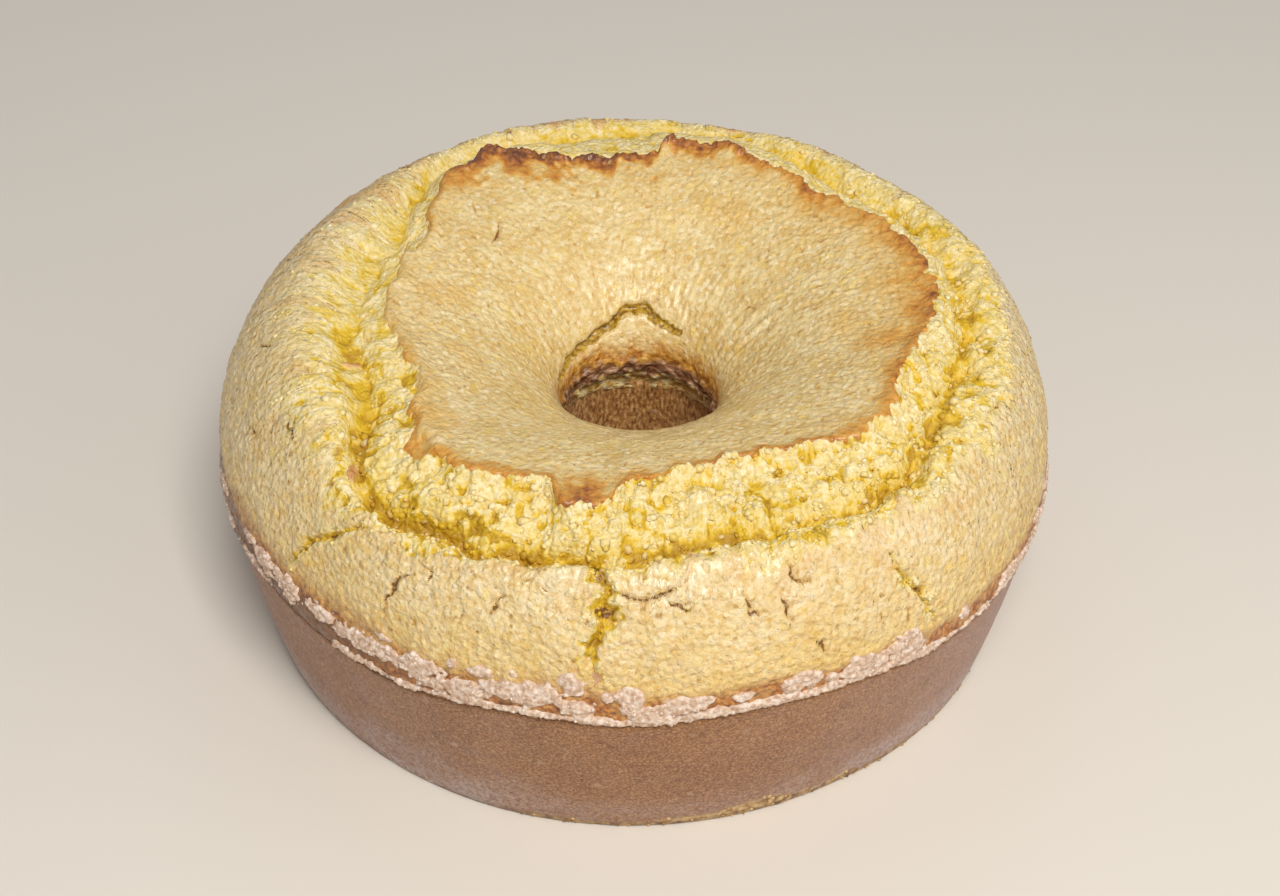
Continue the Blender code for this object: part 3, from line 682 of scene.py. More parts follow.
def wrinkles(patch):
    """Fine folds that run down into the funnel, deepest on its right side."""
    here = 0.25 + patch.side(22, 46)
    here = here * within(WRINKLED_RADII_MM, patch.radius)
    folds = lumps(patch.circle * 0.028, 1.25 * MM, 64) + 0.5 * patch.noise(2.2, 65)
    return 0.34 * MM * here * folds


def hole_flakes(patch):
    """Flakes and ledges left where the batter tore off the pan's tube."""
    zone = within(FLAKY_BAND_MM, patch.height) * (patch.radius < 0.5 * CREST_RADIUS)
    layered = patch.plain * np.array([0.45, 0.45, 1.0])
    flakes = 1.0 * lumps(layered, 1.7 * MM, 66) + 0.8 * lumps(layered, 0.85 * MM, 67)
    ledge = np.exp(-(((patch.height - HOLE_LEDGE) / 0.0013) ** 2))
    ledge = ledge * (0.5 + 0.8 * patch.sway(6, 68))
    return zone * (0.95 * MM * flakes + 0.8 * MM * ledge)


def hole_colours(patch):
    """Shares of orange bake, dark bake and torn crumb down the hole."""
    wobble = patch.sway(9, 71) + 0.7 * patch.noise(3.0, 72)
    wobble = wobble + 0.6 * patch.noise(1.4, 73)
    height = patch.height + HOLE_BAND_WOBBLE * wobble
    inside = 1 - smooth_step(0.0255, 0.030, patch.radius)
    crumb = 1 - smooth_step(*(place * MM for place in CRUMB_BELOW_MM), height)
    bakes = (within(band, height) for band in (EMBER_BAND_MM, DARK_BAND_MM))
    return [share * inside for share in (*bakes, crumb)]


def make_island_crust():
    band = Band(("toast", "slit", "open", "pit_shade", "ember", "dark", "crumb"))

    def add(steps, rises, drop=0.0):
        patch = Patch(steps, rises, 0.0)
        rim = island_rim(patch.ring)
        toast = rim_toast(patch, rim)
        cracks, slit = patch.cracks()
        in_throat = patch.radius < THROAT_CRACK_LIMIT
        on_crust = smooth_step(0.0225, 0.030, patch.radius) * ~patch.in_hole
        # Pores: small pits, sunk a little into the crust and darkened with painted shade
        pores = smooth_step(0.74, 0.88, patch.noise(1.7, 45)) * on_crust
        relief = patch.common_relief() - cracks + wrinkles(patch) + hole_flakes(patch)
        relief = relief + rim_curl(patch, rim)
        smooth_front = 1 - 0.5 * patch.side(268, 70)
        relief = relief + on_crust * smooth_front * baked_grains(patch, 41)
        relief = relief + on_crust * RIM_RUFFLE * np.clip(toast - 0.3, 0, 1) * (
            0.2 + patch.noise(2.9, 46) + 0.8 * patch.noise(1.2, 47)
        )
        relief = relief - 0.30 * MM * pores - drop
        ember, dark, crumb = hole_colours(patch)
        wide = patch.cracks(CRACKS, 1.1)[1]
        marks = {"slit": slit * ~in_throat, "open": wide * in_throat, "pit_shade": pores}
        marks.update(toast=toast, ember=ember, dark=dark, crumb=crumb)
        band.add(patch.baked(relief), **marks)

    steps = ISLAND_STEPS
    ring = ring_points(turn_steps(steps, 0.0))
    rim_rise = rise_at_radius(island_rim(ring))
    lip = np.array(ISLAND_LIP_MM) * MM
    add(steps, np.repeat(rim_rise, len(lip), axis=1), np.broadcast_to(lip, (steps, len(lip))))
    share = np.linspace(0, 1, ISLAND_ROWS)[None, 1:]
    middle = rise_at_radius(FUNNEL_START)
    add(steps, rim_rise + 0.15 * MM + share * (middle - rim_rise))
    hole_end = rise_in_hole(HOLE_CRUST_END)
    add(steps // 2, np.linspace(middle, hole_end, FUNNEL_ROWS)[None, 1:])
    band.inner_side(steps // 2, [rise_in_hole(HOLE_CRUST_END + 0.0002)], 3 * MM, 0.0)
    band.inner_side(steps // 4, rise_at_radius([0.030, 0.042, 0.055, 0.068]), 4 * MM, 0.0)
    band.inner_side(steps // 2, [rise_at_radius(0.076)], 3.6 * MM, 0.0)
    return band.mesh("island_crust")


# ---------------------------------------------------------------- the torn crumb
SHOULDER_RIM = 0.0996  # plain radius where the shoulder's crust gives way to torn crumb
# Bits of crust in the crumb: azimuth, plain radius and half width in millimetres
STRAY_CRUSTS = (
    (221.6, 0.0955, 2.6), (278.0, 0.0948, 2.5), (302.0, 0.0960, 1.8), (196.0, 0.0950, 2.0),
)
CRUMB_STEPS = 1216
CRUMB_ROWS = 73
CRUMB_BAND = (0.1046, 0.0738)
# Size and height of what makes up the torn crumb's surface, in millimetres
CRUMB_BILLOWS = (5.0, 1.7)
CRUMB_KNOBS = (2.5, 1.1)
CRUMB_BEADS = (1.5, 0.50)
CRUMB_GRIT = (0.95, 0.45)
CRUMB_GAPS = (2.2, 0.9)
CREVICE = (0.55, 0.40, 0.35, 0.30, 0.30, 0.25, 0.15, 0.55, 1.0, 0.95, 1.0, 0.9)
CREVICE_WIDTH_MM = 1.0
CREVICE_DEPTH_MM = 1.2
CRUMB_ROUGHNESS = (0.75, 0.60, 0.42, 0.36, 0.36, 0.34, 0.36, 0.62, 1.0, 1.0, 1.0, 0.95)
# How strong the painted shade in the torn crumb's gaps is round the ring, and how strong it is
# along the trench
CRUMB_SHADE_STRENGTH = (0.60, 0.50, 0.50, 0.50, 0.50, 0.50, 0.50, 0.85, 1.0, 0.85, 0.85, 0.80)
TRENCH_SHADE = 0.36
SHOULDER_SHIFT_MM = (-0.5, -0.5, -1.5, -2.0, -2.0, -4.2, -2.6, -1.5, -1.8, -1.0, 0, -0.5)


def shoulder_rim(ring):
    azimuth = np.degrees(np.arctan2(ring[..., 1], ring[..., 0])) % 360
    shift = round_the_ring(SHOULDER_SHIFT_MM, azimuth) * MM
    return SHOULDER_RIM + shift + edge_fray(ring, 4.2 * MM, 54)


def stray_crusts(patch):
    """Where bits of browned crust are left standing in the crumb."""
    found = np.zeros(patch.rise.shape)
    for azimuth, radius, half_width in STRAY_CRUSTS:
        along = np.radians(off_azimuth(patch.azimuth, azimuth)) * radius
        away = np.hypot(along, 1.25 * (patch.radius - radius)) / (half_width * MM)
        ragged = 1.05 - away + 0.25 * patch.noise(1.6, 75)
        found = np.maximum(found, smooth_step(0, 0.7, ragged))
    return found


def calmness(patch):
    """How much of the crumb's roughness this side shows, and how strong the painted shade in its
    gaps is.
    """
    return (patch.around(table) for table in (CRUMB_ROUGHNESS, CRUMB_SHADE_STRENGTH))


def crumb_lumps(patch):
    """Height of the torn crumb's lumps, and painted shade from 0 to 1, strongest deep in its gaps
    and creases.
    """
    billows = np.abs(patch.grit(CRUMB_BILLOWS[0], 79))
    knobs = np.abs(patch.grit(CRUMB_KNOBS[0], 81))
    beads = pebbles(patch.spot, CRUMB_BEADS[0] * MM, 85)
    grit = patch.grit(CRUMB_GRIT[0], 87)
    flattened = patch.spot * np.array([0.75, 0.75, 1.3])
    gaps = smooth_step(0.36, 0.66, lumps(flattened, CRUMB_GAPS[0] * MM, 88))
    roughness, shade_strength = calmness(patch)
    relief = CRUMB_BILLOWS[1] * (billows - 0.3) + CRUMB_KNOBS[1] * (knobs - 0.3)
    relief = relief + CRUMB_BEADS[1] * (beads - 0.5) + CRUMB_GRIT[1] * grit - CRUMB_GAPS[1] * gaps
    crease = 1 - smooth_step(0.02, 0.18, billows)
    crease = crease * smooth_step(-0.4, 0.4, patch.grit(6, 80))
    painted_shade = 0.75 * crease + 0.34 * (1 - smooth_step(0.0, 0.16, knobs))
    painted_shade = painted_shade + 0.65 * gaps + 0.16 * (1 - beads) - 0.08
    return relief * roughness * MM, np.clip(painted_shade * shade_strength, 0, 1)


def crevice_line(patch):
    """The winding bottom of the trench, faint on the left and at the back."""
    winding = 1.9 * patch.sway(7, 89) + 1.2 * patch.grit(2.6, 90)
    width = (CREVICE_WIDTH_MM + 0.5 * patch.sway(9, 93)) * MM
    strength = patch.around(CREVICE)
    strength = strength * (1 + 0.4 * patch.sway(5, 94))
    line = np.exp(-(((patch.radius - TRENCH + winding * MM) / width) ** 2))
    return line * patch.torn() * np.clip(strength, 0, 1.1)


def trench_shade(patch):
    """Painted shade on the crumb on both sides of the trench, drawn as a deeper yellow."""
    reach = (4.6 + 1.6 * patch.grit(8, 77)) * MM
    zone = np.exp(-(((patch.radius - TRENCH) / reach) ** 2)) * patch.torn()
    shade_strength = TRENCH_SHADE * zone * patch.around(CRUMB_SHADE_STRENGTH)
    return shade_strength * (1 + 0.5 * patch.grit(3.5, 78))


def make_crumb():
    band = Band(("painted_shade", "torn", "toast"))

    def add(steps, radii):
        patch = Patch(steps, rise_at_radius(radii))
        torn = patch.torn()
        roughness, _ = calmness(patch)
        rim = island_rim(patch.ring)
        stray = stray_crusts(patch)
        crevice = crevice_line(patch)
        bumps, painted_shade = crumb_lumps(patch)
        relief = patch.common_relief() + bumps
        clods = CLODS[1] * lumps(patch.plain, CLODS[0], 3)
        clods = clods + CRUMBS[1] * lumps(patch.plain, CRUMBS[0], 4)
        relief = relief + roughness * torn * clods
        relief = relief - patch.cracks()[0]
        relief = relief + (1.3 * stray - CREVICE_DEPTH_MM * crevice) * MM
        under_island = smooth_step(-0.4 * MM, 2.2 * MM, rim - patch.radius)
        beyond_rim = patch.radius - shoulder_rim(patch.ring)
        over_shoulder = smooth_step(1.0 * MM, 4.0 * MM, beyond_rim)
        relief = relief - 2.8 * MM * under_island - 2.4 * MM * over_shoulder
        # Painted shade in the crumb's gaps, beside the trench and in its crevice; none on the bits
        # of crust
        painted_shade = np.clip((painted_shade + trench_shade(patch) + 0.75 * crevice) * (1 - stray), 0, 1)
        points = patch.baked(relief)
        overhang = 0.5 * patch.grit(3.4, 91) + 0.4 * patch.grit(1.5, 92)
        sideways = torn * overhang * MM * roughness
        points[..., :2] += patch.circle[..., :2] * (sideways * (1 - under_island))[..., None]
        grainy = smooth_step(0, 2 * MM, patch.radius - rim) * (1 - over_shoulder) * (1 - stray)
        grainy = grainy * smooth_step(0.2, 1.0, roughness)
        band.add(points, painted_shade=painted_shade, torn=grainy, toast=stray)

    steps = CRUMB_STEPS
    outer, inner = CRUMB_BAND
    add(steps, np.linspace(outer, inner, CRUMB_ROWS)[None, :])
    band.inner_side(steps // 2, [rise_at_radius(inner)], 9 * MM)
    band.inner_side(steps // 4, rise_at_radius([0.081, 0.090, 0.099]), 15 * MM)
    band.inner_side(steps // 2, [rise_at_radius(outer)], 9 * MM)
    return band.mesh("torn_crumb")


# ---------------------------------------------------------------- the shoulder's crust
# Cracks too fine for the solid, given as its own are
HAIR_CRACKS = (
    (((247.2, 26.6), (247.0, 22)), 0.8, 1.3), (((252.2, 33), (251.5, 29), (251.0, 26.4)), 0.9, 1.4),
    (((257.4, 37.4), (258.0, 35)), 0.9, 1.4), (((301.4, 26.6), (300.8, 20)), 0.7, 1.1),
    (((303.0, 21), (302.8, 14)), 0.6, 1.0), (((295.0, 27.4), (295.4, 25)), 0.6, 0.9),
    (((206.0, 38), (209.0, 36.5), (212.5, 37.5)), 0.9, 1.5),
    (((196.0, 45), (199.0, 43), (203.5, 44)), 1.0, 1.7),
    (((200.5, 30), (204.0, 31)), 0.7, 1.1), (((187.0, 35), (190.5, 38)), 0.8, 1.3),
    (((216.0, 47), (219.0, 45)), 0.8, 1.2), (((333.0, 44), (338.0, 41), (341.0, 42)), 0.9, 1.5),
    (((345.0, 36), (349.0, 35)), 0.8, 1.2), (((352.0, 47), (356.0, 45), (359.0, 46)), 0.9, 1.5),
)
OPEN_CRACKS = (0, 7, 8)  # the widest cracks of the solid, with crumb in them
CRACK_TAILS = (
    (((265.2, 28), (264.8, 20), (265.2, 11.5)), 1.6, 3.2), (((263.2, 43), (264.6, 38)), 1.8, 2.0),
)
NARROW_CRACK_SHARE = 0.6  # how deep the narrow cracks are cut, against the solid's
SHOULDER_STEPS = 1152
SHOULDER_ROWS = 78
RUST_REACH_MM = (5, 4.5, 4.5, 4.5, 5, 6, 9, 15, 15, 13, 11, 8)
HIDDEN_CRACKS = (5, 175, 22)  # from and to these azimuths, this many more
HIDDEN_CRACKS_SEED = 12


def hidden_cracks():
    """More cracks like the others, over the side that is turned away."""
    draw = random.Random(HIDDEN_CRACKS_SEED)
    first, last, count = HIDDEN_CRACKS
    found = []
    for k in range(count):
        azimuth = first + (last - first) * (k + draw.uniform(0.1, 0.9)) / count
        rise = draw.uniform(14, 46)
        path = [(azimuth, rise)]
        for _ in range(draw.randint(1, 3)):
            azimuth += draw.uniform(-2.4, 2.4)
            rise -= draw.uniform(2.5, 6)
            path.append((azimuth, rise))
        width = draw.uniform(0.6, 1.3)
        found.append((tuple(path), width, 1.6 * width))
    return found


def flour_lobes():
    """The lobes at the front, then scattered ones for the rest of the pan line."""
    draw = random.Random(HIDDEN_LOBES_SEED)
    first, last, count = HIDDEN_LOBES
    hidden = [
        (
            first + (last - first) * (k + draw.uniform(0.2, 0.8)) / count,
            draw.uniform(2.0, 8.0),
            draw.uniform(2.2, 5.2),
            draw.uniform(1.3, 3.4),
        )
        for k in range(count)
    ]
    return [*FLOUR_LOBES, *hidden]


def flour_cover(patch):
    """Above 0 under the baked flour: its rim along the pan line and its frayed lobes."""
    rim = patch.around(FLOUR_RIM_MM) + 0.35 * patch.sway(3.1, 33)
    rim = (rim + 0.5 * patch.sway(9, 36)) * MM
    rise = patch.rise - PAN_LINE_RISE
    inside = 1 - np.abs(rise - FLOUR_RIM_RISE) / np.maximum(rim, 0.05 * MM)
    inside = np.where(rim < 0.1 * MM, -1, inside)
    left = patch.side(215, 32)
    for lobe_azimuth, lobe_rise, half_length, half_height in flour_lobes():
        along = np.radians(off_azimuth(patch.azimuth, lobe_azimuth)) * PAN_LINE_RADIUS
        across = (rise - lobe_rise * MM) / ((1.2 - 0.35 * left) * half_height * MM)
        inside = np.maximum(inside, 1 - np.hypot(along / (1.1 * half_length * MM), across))
    fray = 0.36 * patch.noise(4.2, 31) + 0.26 * patch.noise(1.9, 32)
    return inside + fray + (0.12 + 0.3 * left) * patch.noise(1.0, 30)


def rust(patch):
    """Browner crust just above the pan line, in patches."""
    rise = patch.rise - PAN_LINE_RISE
    reach = patch.around(RUST_REACH_MM) + 2.6 * patch.sway(14, 34)
    reach = reach * MM
    patchy = 1.0 + 0.35 * patch.noise(2.4, 35)
    return np.clip((1 - smooth_step(0.45 * reach, 1.2 * reach, rise)) * patchy, 0, 1)


def crust_pebbles(patch, seed):
    """Grains of the baked crust, drawn out sideways low on the flank."""
    low = 1 - smooth_step(0.010, 0.045, patch.rise)
    ripples = lumps(patch.spot * np.array([0.45, 0.45, 1.3]), 1.7 * MM, seed + 4)
    dimples = patch.grit(5.0, seed + 9)
    grains = 1.15 * baked_grains(patch, seed) * (1 - 0.25 * low)
    return grains + (0.26 * low * ripples + 0.28 * dimples) * MM


def make_shoulder_crust():
    band = Band(("slit", "pit_shade", "rust", "toast", "golden_and_painted_light", "crumb", "painted_shade", "painted_low_left_shade"))
    steps = SHOULDER_STEPS
    narrow_cracks = [crack for k, crack in enumerate(CRACKS) if k not in OPEN_CRACKS]
    narrow_cracks = (*narrow_cracks, *HAIR_CRACKS, *hidden_cracks())
    open_cracks = [*(CRACKS[k] for k in OPEN_CRACKS), *CRACK_TAILS]

    def add(rises, drop=0.0):
        patch = Patch(steps, rises)
        cracks = NARROW_CRACK_SHARE * patch.cracks(narrow_cracks, 0.7, 1.9)[0]
        slit = patch.cracks(narrow_cracks, 1.3, 1.9)[1]
        wide, middle = patch.cracks(open_cracks, 0.8, 2.4)
        around = patch.cracks(open_cracks, 1.5, 2.4)[1]
        # Pores: small pits, sunk a little and darkened with painted shade
        pores = smooth_step(0.78, 0.90, patch.noise(1.7, 96))
        outward = patch.radius - shoulder_rim(patch.ring)
        strayed = outward + 3.4 * MM * patch.noise(6.5, 99)
        crumb = 1 - smooth_step(0.5 * MM, 6.5 * MM, strayed)
        uneven = around + 0.7 * patch.noise(2.4, 95)
        crumb = np.maximum(crumb, smooth_step(0.25, 0.60, uneven) * (around > 0))
        bumps, painted_shade = crumb_lumps(patch)
        under_crumb = smooth_step(-2.0 * MM, 1.0 * MM, -outward)
        relief = patch.common_relief() - cracks - 0.85 * wide
        relief = relief + (1 - crumb) * crust_pebbles(patch, 101)
        relief = relief + crumb * bumps * (0.7 + 0.3 * under_crumb)
        relief = relief - 0.4 * MM * pores - 2.0 * MM * under_crumb - drop
        near_rim = np.exp(-np.clip(outward - 2 * MM, 0, None) / (5 * MM))
        front = patch.side(292, 42)
        back = patch.side(97, 58)
        toast = near_rim * (0.08 + 0.22 * front) + 0.42 * back
        toast = toast * (1 + 0.9 * patch.noise(6, 97)) * (1 - crumb)
        strayed = patch.rise + 3 * MM * patch.noise(11, 98)
        golden_and_painted_light = 1 - smooth_step(0.004, 0.034, strayed)
        # More golden near the pan line and at the back; on the left the same tone is painted warm
        # light
        left = patch.side(205, 34)
        golden_and_painted_light = np.maximum(golden_and_painted_light, 0.8 * back + 0.3 * left)
        # Painted shade low on the left side, near the pan line
        strayed = patch.rise + 2 * MM * patch.noise(5, 92)
        painted_low_left_shade = left * (1 - smooth_step(3 * MM, 10 * MM, strayed))
        # The middle of each open crack gets the slit's painted shade too
        gaping = middle + 0.5 * patch.noise(3, 94)
        slit = np.maximum(slit, 0.85 * smooth_step(0.6, 1.15, gaping))
        # Painted shade in the crumb's gaps and down the middle of the open cracks
        painted_shade = np.clip(painted_shade * crumb + 0.55 * smooth_step(0.15, 0.8, middle), 0, 1)
        marks = {"slit": slit, "pit_shade": pores, "rust": rust(patch), "toast": toast, "painted_low_left_shade": painted_low_left_shade}
        band.add(patch.baked(relief), golden_and_painted_light=golden_and_painted_light, crumb=crumb, painted_shade=painted_shade, **marks)

    under_edge = np.array([3.0, 1.4, 0.4]) * MM
    add(np.full((steps, 3), PAN_LINE_RISE), under_edge)
    ring = ring_points(turn_steps(steps, FRONT_CLOSENESS))
    top = rise_at_radius(shoulder_rim(ring) - 3.0 * MM)
    share = np.linspace(0, 1, SHOULDER_ROWS)[None, :]
    add(PAN_LINE_RISE + share * (top - PAN_LINE_RISE))
    band.inner_side(steps // 2, [rise_at_radius(0.0965)], 9 * MM)
    band.inner_side(steps // 4, rise_at_radius([0.104, 0.110, 0.1145]), 6 * MM)
    band.inner_side(steps // 2, [PAN_LINE_RISE], 4.5 * MM)
    return band.mesh("shoulder_crust")


# ---------------------------------------------------------------- the baked flour
FLOUR_STEPS = 1600
FLOUR_ROWS = 44
FLOUR_BAND_MM = (0.05, 19.5)


def make_flour_crust():
    band = Band(("cover",))
    steps = FLOUR_STEPS

    def add(rises, drop):
        patch = Patch(steps, rises)
        cover = flour_cover(patch)
        swell = smooth_step(-0.30, 0.22, cover)
        grit = 0.34 * pebbles(patch.plain, 1.1 * MM, 111) - 0.4
        grit = grit + 0.5 * pebbles(patch.plain, 2.6 * MM, 114)
        relief = patch.common_relief() - patch.cracks()[0]
        relief = relief + (1.60 * swell - 0.85 + swell * grit) * MM - drop
        band.add(patch.baked(relief), cover=np.clip(cover + 0.35, 0, 1))

    add(np.full((1, 2), PAN_LINE_RISE), np.array([[2.0, 0.4]]) * MM)
    add(PAN_LINE_RISE + np.linspace(*FLOUR_BAND_MM, FLOUR_ROWS)[None, :] * MM, 0.0)
    for share, heights in ((2, [FLOUR_BAND_MM[1]]), (4, [13.0, 6.0]), (2, [0.5])):
        band.inner_side(steps // share, PAN_LINE_RISE + np.array(heights) * MM, 2.0 * MM)
    return band.mesh("flour_crust")


# ---------------------------------------------------------------- Geometry Nodes
class Tree:
    """Builds one Geometry Nodes tree with named inputs."""

    def __init__(self, name):
        self.group = bpy.data.node_groups.new(name, "GeometryNodeTree")
        for way in ("INPUT", "OUTPUT"):
            sockets = self.group.interface
            sockets.new_socket("Geometry", in_out=way, socket_type="NodeSocketGeometry")
        self.start = self.group.nodes.new("NodeGroupInput")
        self.end = self.group.nodes.new("NodeGroupOutput")

    def size(self, name, kind="NodeSocketFloat"):
        """A named input of the tree."""
        self.group.interface.new_socket(name, in_out="INPUT", socket_type=kind)
        return self.start.outputs[name]

    def add(self, kind, settings=None, **sockets):
        """A node with its settings, and its sockets linked or set, by name or number."""
        node = self.group.nodes.new(kind)
        for key, value in (settings or {}).items():
            setattr(node, key, value)
        for key, value in sockets.items():
            number = key[1:] if key[0] == "_" else ""
            socket = node.inputs[int(number) if number.isdigit() else key.replace("_", " ")]
            if isinstance(value, bpy.types.NodeSocket):
                self.group.links.new(value, socket)
            else:
                socket.default_value = value
        return node

    def math(self, operation, a, b=0.0):
        return self.add("ShaderNodeMath", {"operation": operation}, _0=a, _1=b).outputs[0]

    def vector(self, operation, **sockets):
        return self.add("ShaderNodeVectorMath", {"operation": operation}, **sockets).outputs[0]

    def between(self, least, most, seed):
        """A random number for each point."""
        kind = "FunctionNodeRandomValue"
        return self.add(kind, {"data_type": "FLOAT"}, _2=least, _3=most, Seed=seed).outputs[1]

    def finish(self, geometry, material):
        whole = self.add("GeometryNodeRealizeInstances", Geometry=geometry)
        dressed = self.add("GeometryNodeSetMaterial", Geometry=whole.outputs[0], Material=material)
        self.group.links.new(dressed.outputs[0], self.end.inputs[0])


def evaluated(name, mesh, tree, inputs):
    """The plain mesh that the tree makes from this mesh with these inputs."""
    work = bpy.data.objects.new(name, mesh)
    bpy.context.scene.collection.objects.link(work)
    modifier = work.modifiers.new(name, "NODES")
    modifier.node_group = tree.group
    for item in tree.group.interface.items_tree:
        if item.in_out == "INPUT" and item.name in inputs:
            modifier[item.identifier] = inputs[item.name]
    graph = bpy.context.evaluated_depsgraph_get()
    made = bpy.data.meshes.new_from_object(work.evaluated_get(graph))
    made.name = name
    bpy.data.objects.remove(work)
    return made


def sweep_tree():
    """A closed section swept round the axis, with grain raised on its surface."""
    tree = Tree("swept_crust")
    radius = tree.size("Sweep Radius")
    steps = tree.size("Turn Steps", "NodeSocketInt")
    grain_size = tree.size("Grain Size")
    grain_height = tree.size("Grain Height")
    patch_size = tree.size("Patch Size")
    patch_height = tree.size("Patch Height")
    material = tree.size("Material", "NodeSocketMaterial")
    profile = tree.add("GeometryNodeMeshToCurve", Mesh=tree.start.outputs["Geometry"])
    circle = tree.add("GeometryNodeCurvePrimitiveCircle", Resolution=steps, Radius=radius)
    swept = tree.add("GeometryNodeCurveToMesh", Curve=circle.outputs[0])
    tree.group.links.new(profile.outputs[0], swept.inputs["Profile Curve"])
    heights = []
    for size, height in ((grain_size, grain_height), (patch_size, patch_height)):
        scale = tree.math("DIVIDE", 1.0, size)
        noise = tree.add("ShaderNodeTexNoise", Scale=scale, Detail=2.0)
        heights.append(tree.math("MULTIPLY", tree.math("SUBTRACT", noise.outputs[0], 0.5), height))
    total = tree.math("ADD", *heights)
    normal = tree.add("GeometryNodeInputNormal")
    offset = tree.vector("SCALE", Vector=normal.outputs[0], Scale=total)
    raised = tree.add("GeometryNodeSetPosition", Geometry=swept.outputs[0], Offset=offset)
    tree.finish(raised.outputs[0], material)
    return tree


def scatter_tree():
    """Small rough grains strewn over a surface, densest where its attribute is 1."""
    tree = Tree("strewn_grains")
    density = tree.size("Grains Per Square Metre")
    where = tree.size("Where", "NodeSocketString")
    least = tree.size("Smallest Radius")
    most = tree.size("Largest Radius")
    flatness = tree.size("Flatness")
    sunk = tree.size("Sunk")
    roughness_size = tree.size("Lump Size")
    roughness_height = tree.size("Lump Height")
    seed = tree.size("Seed", "NodeSocketInt")
    material = tree.size("Material", "NodeSocketMaterial")
    mask = tree.add("GeometryNodeInputNamedAttribute", {"data_type": "FLOAT"}, Name=where)
    per_area = tree.math("MULTIPLY", mask.outputs[0], density)
    strewn = tree.add(
        "GeometryNodeDistributePointsOnFaces",
        {"distribute_method": "RANDOM"},
        Mesh=tree.start.outputs["Geometry"],
        Density=per_area,
        Seed=seed,
    )
    marked = tree.add(
        "GeometryNodeStoreNamedAttribute",
        {"data_type": "FLOAT", "domain": "POINT"},
        Geometry=strewn.outputs["Points"],
        Name="shade",
        Value=tree.between(0.0, 1.0, seed),
    )
    grain = tree.add("GeometryNodeMeshIcoSphere", Radius=1.0, Subdivisions=1)
    squash = tree.add("ShaderNodeCombineXYZ", X=1.0, Y=1.0, Z=flatness)
    flat = tree.add("GeometryNodeTransform", Geometry=grain.outputs[0], Scale=squash.outputs[0])
    width = tree.between(least, most, tree.math("ADD", seed, 1.0))
    turn = tree.between(0.0, math.tau, tree.math("ADD", seed, 2.0))
    spun = tree.add("FunctionNodeAxisAngleToRotation", Axis=(0.0, 0.0, 1.0), Angle=turn)
    facing = tree.add(
        "FunctionNodeRotateRotation",
        {"rotation_space": "LOCAL"},
        Rotation=strewn.outputs["Rotation"],
        Rotate_By=spun.outputs[0],
    )
    laid = tree.add(
        "GeometryNodeInstanceOnPoints",
        Points=marked.outputs[0],
        Instance=flat.outputs[0],
        Rotation=facing.outputs[0],
        Scale=width,
    )
    down = tree.add("ShaderNodeCombineXYZ", Z=tree.math("MULTIPLY", sunk, -1.0)).outputs[0]
    sinking = tree.add(
        "GeometryNodeTranslateInstances", Instances=laid.outputs[0], Translation=down
    )
    whole = tree.add("GeometryNodeRealizeInstances", Geometry=sinking.outputs[0])
    scale = tree.math("DIVIDE", 1.0, roughness_size)
    noise = tree.add("ShaderNodeTexNoise", Scale=scale, Detail=1.0)
    centred = tree.vector("SUBTRACT", _0=noise.outputs[1], _1=(0.5, 0.5, 0.5))
    push = tree.vector("SCALE", Vector=centred, Scale=roughness_height)
    rough = tree.add("GeometryNodeSetPosition", Geometry=whole.outputs[0], Offset=push)
    tree.finish(rough.outputs[0], material)
    return tree


# ---------------------------------------------------------------- the pan's crust
PAN_CRUST_STEPS = 896
PAN_CRUST_WALL = 0.0035
TUBE_CRUST_TOP = 0.0495
WALL_WAIST = (BASE_RADIUS + 6.7 * MM, 0.0270)  # radius and height half way up the wall
PAN_GRAIN = (1.3 * MM, 0.16 * MM)  # size and height
PAN_PATCHES = (9.0 * MM, 0.5 * MM)
TUBE_ZONE = 0.045  # the tube's crust lies inside this radius
WALL_ZONE = 0.090  # and the wall outside this one


def pan_crust_section():
    """The closed section of the pan crust: wall, underside and the tube's wall, as a shell."""
    wall = spline(
        [
            (PAN_LINE_RADIUS - 2.2 * MM, PAN_LINE_HEIGHT + 0.6 * MM),
            (PAN_LINE_RADIUS - 1.0 * MM, PAN_LINE_HEIGHT - 0.6 * MM),
            (PAN_LINE_RADIUS - 0.6 * MM, PAN_LINE_HEIGHT - 2.6 * MM),
            WALL_WAIST,
            (BASE_RADIUS, BASE_ROUNDING),
            (BASE_RADIUS - 0.3 * BASE_ROUNDING, 0.3 * BASE_ROUNDING),
            (BASE_RADIUS - BASE_ROUNDING, 0.0),
        ],
        0.9 * MM,
    )
    under = np.array([(0.085, 0.0), (0.065, 0.0), (0.048, 0.0)])
    tube = spline(
        [
            (HOLE_FOOT_RADIUS + HOLE_FOOT_ROUNDING, 0.0),
            (HOLE_FOOT_RADIUS + 0.3 * HOLE_FOOT_ROUNDING, 0.3 * HOLE_FOOT_ROUNDING),
            (HOLE_FOOT_RADIUS, HOLE_FOOT_ROUNDING),
            (HOLE_FOOT_RADIUS - 1.2 * MM, TUBE_BEND_HEIGHT),
            (THROAT_RADIUS + 4.0 * MM, TUBE_CRUST_TOP),
        ],
        1.4 * MM,
    )
    thick = PAN_CRUST_WALL
    back = [
        (THROAT_RADIUS + 4.0 * MM + thick, TUBE_CRUST_TOP),
        (HOLE_FOOT_RADIUS + thick, TUBE_BEND_HEIGHT),
        (HOLE_FOOT_RADIUS + 2 * thick, thick),
        (BASE_RADIUS - 2 * thick, thick),
        (WALL_WAIST[0] - thick, WALL_WAIST[1]),
        (PAN_LINE_RADIUS - 2.2 * MM - thick, PAN_LINE_HEIGHT - 1.0 * MM),
    ]
    return np.vstack([wall, under, tube, back])


